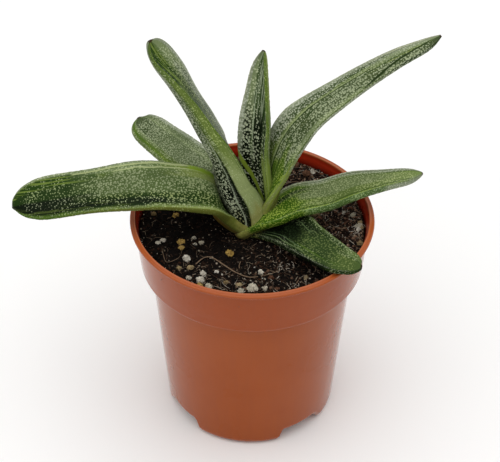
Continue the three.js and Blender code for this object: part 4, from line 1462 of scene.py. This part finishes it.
class PotSettings(bpy.types.PropertyGroup):
    """What a user may change on the pot."""

    sides: bpy.props.IntProperty(
        name="Sides", description="Facets round the pot", default=192, min=24, max=512
    )
    pocket_height: bpy.props.FloatProperty(
        name="Pocket height",
        description="How far the underside is raised between the feet",
        default=6.5 * MM,
        unit="LENGTH",
    )
    drain_radius: bpy.props.FloatProperty(
        name="Drain radius", description="Radius of the drain holes", default=3.5 * MM, unit="LENGTH"
    )
    roughness: bpy.props.FloatProperty(
        name="Roughness", description="Roughness of the plastic", default=0.3, min=0.05, max=1.0
    )
    body_colour: bpy.props.FloatVectorProperty(
        name="Body",
        description="Colour of the plastic below the skirt",
        subtype="COLOR",
        default=linear("#9a4503")[:3],
    )
    skirt_colour: bpy.props.FloatVectorProperty(
        name="Skirt",
        description="Colour of the plastic on the skirt",
        subtype="COLOR",
        default=linear("#974004")[:3],
    )
    # The lip is a little lighter than the body: a painted highlight on the lip's top.
    lip_and_highlight_colour: bpy.props.FloatVectorProperty(
        name="Lip",
        description="Colour of the rubbed lip",
        subtype="COLOR",
        default=linear("#a65226")[:3],
    )
    # The inner wall's deeper red is partly painted shade inside the pot.
    shaded_inner_colour: bpy.props.FloatVectorProperty(
        name="Inner wall",
        description="Colour of the wall above the soil",
        subtype="COLOR",
        default=linear("#a02a12")[:3],
    )


class SoilSettings(bpy.types.PropertyGroup):
    """What a user may change on the soil."""

    rings: bpy.props.IntProperty(name="Rings", description="Rings in the soil's surface", default=70, min=8)
    crumb_density: bpy.props.FloatProperty(
        name="Crumb density", description="Crumbs to a square metre", default=560000.0, min=0.0
    )
    crumb_size: bpy.props.FloatProperty(
        name="Crumb size", description="Radius of the largest crumb", default=1.1 * MM, unit="LENGTH"
    )


class LeafSettings(bpy.types.PropertyGroup):
    """What a user may change on the leaves."""

    rings_per_span: bpy.props.IntProperty(
        name="Rings", description="Rings between two stations of a leaf", default=20, min=2, max=40
    )
    face_steps: bpy.props.IntProperty(
        name="Steps across",
        description="Faces across the blade, a multiple of two",
        default=20,
        min=4,
        max=60,
    )
    dot_spacing: bpy.props.FloatProperty(
        name="Dot spacing",
        description="Spacing of the pale dots, 1 as grown",
        default=1.0,
        min=0.5,
        max=4.0,
    )
    roughness: bpy.props.FloatProperty(
        name="Roughness", description="Roughness of the waxy skin", default=0.46, min=0.05, max=1.0
    )
    base_colour: bpy.props.FloatVectorProperty(
        name="Base",
        description="Yellowish colour at the leaf's foot",
        subtype="COLOR",
        default=linear("#8a8646")[:3],
    )
    tip_colour: bpy.props.FloatVectorProperty(
        name="Tip",
        description="Colour of the dry point at the tip",
        subtype="COLOR",
        default=linear("#3a3020")[:3],
    )


class StageSettings(bpy.types.PropertyGroup):
    """What a user may change on the floor and lights."""

    floor_colour: bpy.props.FloatVectorProperty(
        name="Floor", description="Colour of the floor", subtype="COLOR", default=linear("#fafaf9")[:3]
    )
    key_power: bpy.props.FloatProperty(
        name="Key light", description="Strength of the light from above", default=2.0, min=0.0
    )
    sky: bpy.props.FloatProperty(
        name="Surround", description="Brightness of the pale surround", default=0.3, min=0.0
    )


# ---------------------------------------------------------------- operators


class GASTERIA_OT_pot(bpy.types.Operator):
    """Builds the pot: lip with its rib, skirt, body, feet, pockets and drain holes"""

    bl_idname = "gasteria.pot"
    bl_label = "Build Pot"

    def execute(self, context):
        settings = context.scene.gasteria_pot
        shell = grown(
            turned_tree(),
            polyline("pot_shell", pot_profile()),
            {
                "Sides": settings.sides,
                "Pocket Height": settings.pocket_height,
                "Taper": (BODY_TOP_RADIUS - BASE_RADIUS) / SKIRT_FOOT,
                "Material": pot_plastic(settings),
            },
        )
        outward(shell)
        distance = (POCKET_INNER_RADIUS + BASE_RADIUS - WALL) / 2
        turns = [math.radians(FIRST_POCKET + 90 * i) for i in range(4)]
        centres = [(distance * math.cos(t), distance * math.sin(t)) for t in turns]
        shell = drilled(shell, centres, settings.drain_radius / MM)
        settle(shell, "pot_plastic", "pot")
        return {"FINISHED"}


def scattered(scatter, settings):
    """Crumbs, grit, bark flakes, fibres and slivers, loose all over the soil."""
    # Sphagnum peat, sieved: matt near-black crumbs. Here and in the grains below, the tone falls under the
    # plant's leaves as painted shade, partly damp, and peat, coir and bark turn red-brown towards the back
    # right, partly where they dry and partly as painted light.
    stops = [(0.0, "#050403"), (0.5, "#0b0705"), (0.75, "#1e130c"), (0.9, "#44291b"), (1.0, "#806450")]
    peat = crumb_material("Peat crumbs", stops, drier_and_lit=0.5, leaf_shade=0.28)
    # Quartz grit and the dust of crushed perlite: small chalky specks from brown to off-white.
    stops = [(0.0, "#3a2e22"), (0.4, "#7d6f5c"), (0.75, "#b5ab98"), (1.0, "#ddd8cc")]
    pale = crumb_material("Pale grit and perlite dust", stops, leaf_shade=0.25)
    # Coir, the shredded husk of coconut: dull straw-brown threads, a few bleached nearly white.
    stops = [(0.0, "#1c110b"), (0.5, "#503a2b"), (0.8, "#9a8872"), (1.0, "#d8d0c0")]
    fibre = crumb_material("Coir fibres", stops, 0.85, drier_and_lit=0.1, leaf_shade=0.35)
    # Composted pine bark, broken up: dark flat chips with reddish fresh faces.
    stops = [(0.0, "#060403"), (0.5, "#110a06"), (0.8, "#2c1a11"), (1.0, "#6e4a38")]
    bark = crumb_material("Broken bark", stops, drier_and_lit=0.55, leaf_shade=0.33)

    litter = litter_tree()
    # Piece, tree, share of the crumbs' density, material, sizes in millimetres and other values.
    kinds = [
        ("crumbs", scatter, 1, peat, {}, {"Largest": settings.crumb_size}),
        ("grit", scatter, 0.24, pale, {"Smallest": 0.15, "Largest": 0.7}, {"Seed": 14}),
        (
            "flakes",
            scatter,
            0.12,
            bark,
            {"Smallest": 0.5, "Largest": 1.7},
            {"Flatness": 0.4, "Roughness": 0.9, "Seed": 41},
        ),
        ("fibres", litter, 0.15, fibre, {}, {}),
        (
            "slivers",
            litter,
            0.28,
            fibre,
            {"Shortest": 0.5, "Longest": 2.4, "Thickness": 0.15},
            {"Seed": 52},
        ),
    ]
    for name, tree, share, material, sizes, values in kinds:
        source = new_object("soil_" + name, new_mesh("soil_top", *soil_surface(*LOOSE_GROUND)))
        density = share * settings.crumb_density
        lengths = {label: length * MM for label, length in sizes.items()}
        loose = grown(tree, source, {"Density": density, "Material": material, **lengths, **values})
        settle(loose, "potting_soil")


def stones(scatter):
    """Perlite, stones and bark chips big enough to tell apart, each in its own place."""
    # Expanded perlite is white and full of pits; lime grit is dull cream; the yellow stones are
    # pumice stained by iron; the bark chips show dry pinkish wood. All are matt and broken, not cut.
    colours = {
        "perlite": ("#c4bca6", "#d6cfbd", "#e4dfd2"),
        "lime_stones": ("#8f7a55", "#a8946c", "#b9a98a"),
        "yellow_stones": ("#a8843a", "#bd9c55", "#c4ad72"),
        "bark_chips": ("#4a2f20", "#6b4a36", "#86654f"),
    }
    for label, codes in colours.items():
        lumps = LUMPS[label]
        points = [(x, y, soil_height(x, y) + LUMP_LIFT * radius) for x, y, radius in lumps]
        mesh = new_mesh(label, points, [])
        radii = mesh.attributes.new("lump_radius", "FLOAT", "POINT")
        radii.data.foreach_set("value", [radius * MM for _, _, radius in lumps])
        name = label.replace("_", " ").capitalize()
        values = {
            "On Points": True,
            "Detail": 4,
            "Flatness": 0.85,
            "Largest": 1.5 * MM,
            "Roughness": 2.3,
            "Bump Size": 1.2 * MM,
            "Material": crumb_material(name, list(zip((0.0, 0.5, 1.0), codes)), 0.8),
        }
        settle(grown(scatter, new_object("soil_" + label, mesh), values), "potting_soil")


def fine_roots():
    """The fine roots that lie on the soil."""
    # Dead fine roots, dried: thin wiry threads of one dull straw-brown.
    straw = crumb_material("Dry fine roots", [(0.0, "#8a735c"), (1.0, "#8a735c")], 0.8)
    points, edges, radii = [], [], []
    for radius, path in ROOTS:
        first = len(points)
        points += [(x, y, soil_height(x, y) + ROOT_LIFT) for x, y in path]
        edges += [(first + i, first + i + 1) for i in range(len(path) - 1)]
        radii += [radius * MM] * len(path)
    mesh = bpy.data.meshes.new("root_lines")
    mesh.from_pydata([Vector(p) * MM for p in points], edges, [])
    mesh.attributes.new("root_radius", "FLOAT", "POINT").data.foreach_set("value", radii)
    roots = grown(root_tree(), new_object("soil_roots", mesh), {"Material": straw})
    settle(roots, "potting_soil")


class GASTERIA_OT_soil(bpy.types.Operator):
    """Builds the potting soil with its crumbs, perlite, bark and fine roots"""

    bl_idname = "gasteria.soil"
    bl_label = "Build Soil"

    def execute(self, context):
        settings = context.scene.gasteria_soil
        plug = new_object("soil_dressed", soil_body(settings.rings, SOIL_SIDES))
        plug.data.materials.append(potting_soil())
        settle(plug, "potting_soil", "soil")
        scatter = scatter_tree()
        scattered(scatter, settings)
        stones(scatter)
        fine_roots()
        return {"FINISHED"}


class GASTERIA_OT_stem(bpy.types.Operator):
    """Builds the short stem that the leaves grow from"""

    bl_idname = "gasteria.stem"
    bl_label = "Build Stem"

    def execute(self, context):
        section = polyline("stem_stump", STEM_SECTION)
        stump = grown(turned_tree(), section, {"Sides": STEM_SIDES, "Material": stem_skin()})
        stump.data.transform(Matrix.Translation((STEM_X * MM, STEM_Y * MM, 0)))
        outward(stump)
        settle(stump, "stem_tissue", "stem")
        return {"FINISHED"}


class GASTERIA_OT_leaves(bpy.types.Operator):
    """Builds the seven leaves with their speckled skins"""

    bl_idname = "gasteria.leaves"
    bl_label = "Build Leaves"

    def execute(self, context):
        settings = context.scene.gasteria_leaves
        for leaf in LEAVES:
            piece = new_object(leaf["name"] + "_skin", leaf_mesh(leaf, settings))
            piece.data.materials.append(leaf_skin(leaf, settings))
            settle(piece, "leaf_tissue", leaf["name"])
        return {"FINISHED"}


class GASTERIA_OT_stage(bpy.types.Operator):
    """Builds the pale floor, the soft lights and the camera"""

    bl_idname = "gasteria.stage"
    bl_label = "Build Stage"

    def execute(self, context):
        settings = context.scene.gasteria_stage
        scene = context.scene
        corners = [(x * FLOOR_REACH, y * FLOOR_REACH, FLOOR_HEIGHT) for x, y in FLOOR_CORNERS]
        floor = new_object("floor", new_mesh("floor", corners, [(0, 1, 2, 3)]))
        # Background paper, plain and matt: an even off-white with no gloss.
        material, node = new_material("Pale matt paper")
        end_material(node, {"Base Color": (*settings.floor_colour, 1), "Roughness": 0.9})
        floor.data.materials.append(material)

        world = bpy.data.worlds.new("Pale surround")
        world.use_nodes = True
        tree = world.node_tree
        background = tree.nodes["Background"]
        background.inputs["Color"].default_value = linear("#ffffff")
        # Looked at straight, the surround is as white as the far floor; as a light it is dimmer.
        seen = add(tree, "ShaderNodeLightPath")
        sums = (seen, 1 - settings.sky, settings.sky)
        strength = add(tree, MATH, sums, operation="MULTIPLY_ADD")
        tree.links.new(strength.outputs[0], background.inputs["Strength"])
        scene.world = world

        # Name, where the light stands, how wide it is in degrees and its share of the power.
        lights = [("key", (-0.2, -0.25, 1.0), 90, 1.0), ("fill", (0.5, 0.4, 0.8), 100, 0.4)]
        for name, towards, spread, share in lights:
            data = bpy.data.lights.new(name, "SUN")
            data.angle = math.radians(spread)
            data.energy = share * settings.key_power
            light = bpy.data.objects.new(name, data)
            scene.collection.objects.link(light)
            light.rotation_euler = Vector(towards).to_track_quat("Z", "Y").to_euler()

        data = bpy.data.cameras.new("camera")
        data.lens, data.sensor_width = CAMERA_LENS, CAMERA_SENSOR
        data.clip_start, data.clip_end = 0.01, 200.0
        camera = bpy.data.objects.new("camera", data)
        scene.collection.objects.link(camera)
        camera.location = Vector(CAMERA_PLACE) * MM
        camera.rotation_euler = [math.radians(angle) for angle in CAMERA_TURN]
        scene.camera = camera
        scene.view_settings.view_transform = "Standard"
        return {"FINISHED"}


class GASTERIA_PT_panel(bpy.types.Panel):
    """Lists the steps that build the plant"""

    bl_label = "Gasteria"
    bl_idname = "GASTERIA_PT_panel"
    bl_space_type = "VIEW_3D"
    bl_region_type = "UI"
    bl_category = "Gasteria"

    def draw(self, context):
        for title, settings, operator in STEPS:
            box = self.layout.box()
            box.label(text=title)
            if settings:
                group = getattr(context.scene, settings)
                for name in group.bl_rna.properties.keys():
                    if name not in ("rna_type", "name"):
                        box.prop(group, name)
            box.operator(operator)


STEPS = [
    ("Pot", "gasteria_pot", "gasteria.pot"),
    ("Soil", "gasteria_soil", "gasteria.soil"),
    ("Stem", None, "gasteria.stem"),
    ("Leaves", "gasteria_leaves", "gasteria.leaves"),
    ("Stage", "gasteria_stage", "gasteria.stage"),
]
GROUPS = {
    "gasteria_pot": PotSettings,
    "gasteria_soil": SoilSettings,
    "gasteria_leaves": LeafSettings,
    "gasteria_stage": StageSettings,
}
CLASSES = [
    *GROUPS.values(),
    GASTERIA_OT_pot,
    GASTERIA_OT_soil,
    GASTERIA_OT_stem,
    GASTERIA_OT_leaves,
    GASTERIA_OT_stage,
    GASTERIA_PT_panel,
]


def register():
    for cls in CLASSES:
        bpy.utils.register_class(cls)
    for name, group in GROUPS.items():
        setattr(bpy.types.Scene, name, bpy.props.PointerProperty(type=group))


def unregister():
    for name in GROUPS:
        delattr(bpy.types.Scene, name)
    for cls in reversed(CLASSES):
        bpy.utils.unregister_class(cls)


def main():
    """Builds everything in order."""
    register()
    bpy.ops.gasteria.stage()
    bpy.ops.gasteria.pot()
    bpy.ops.gasteria.soil()
    bpy.ops.gasteria.stem()
    bpy.ops.gasteria.leaves()


if __name__ == "__main__":
    main()
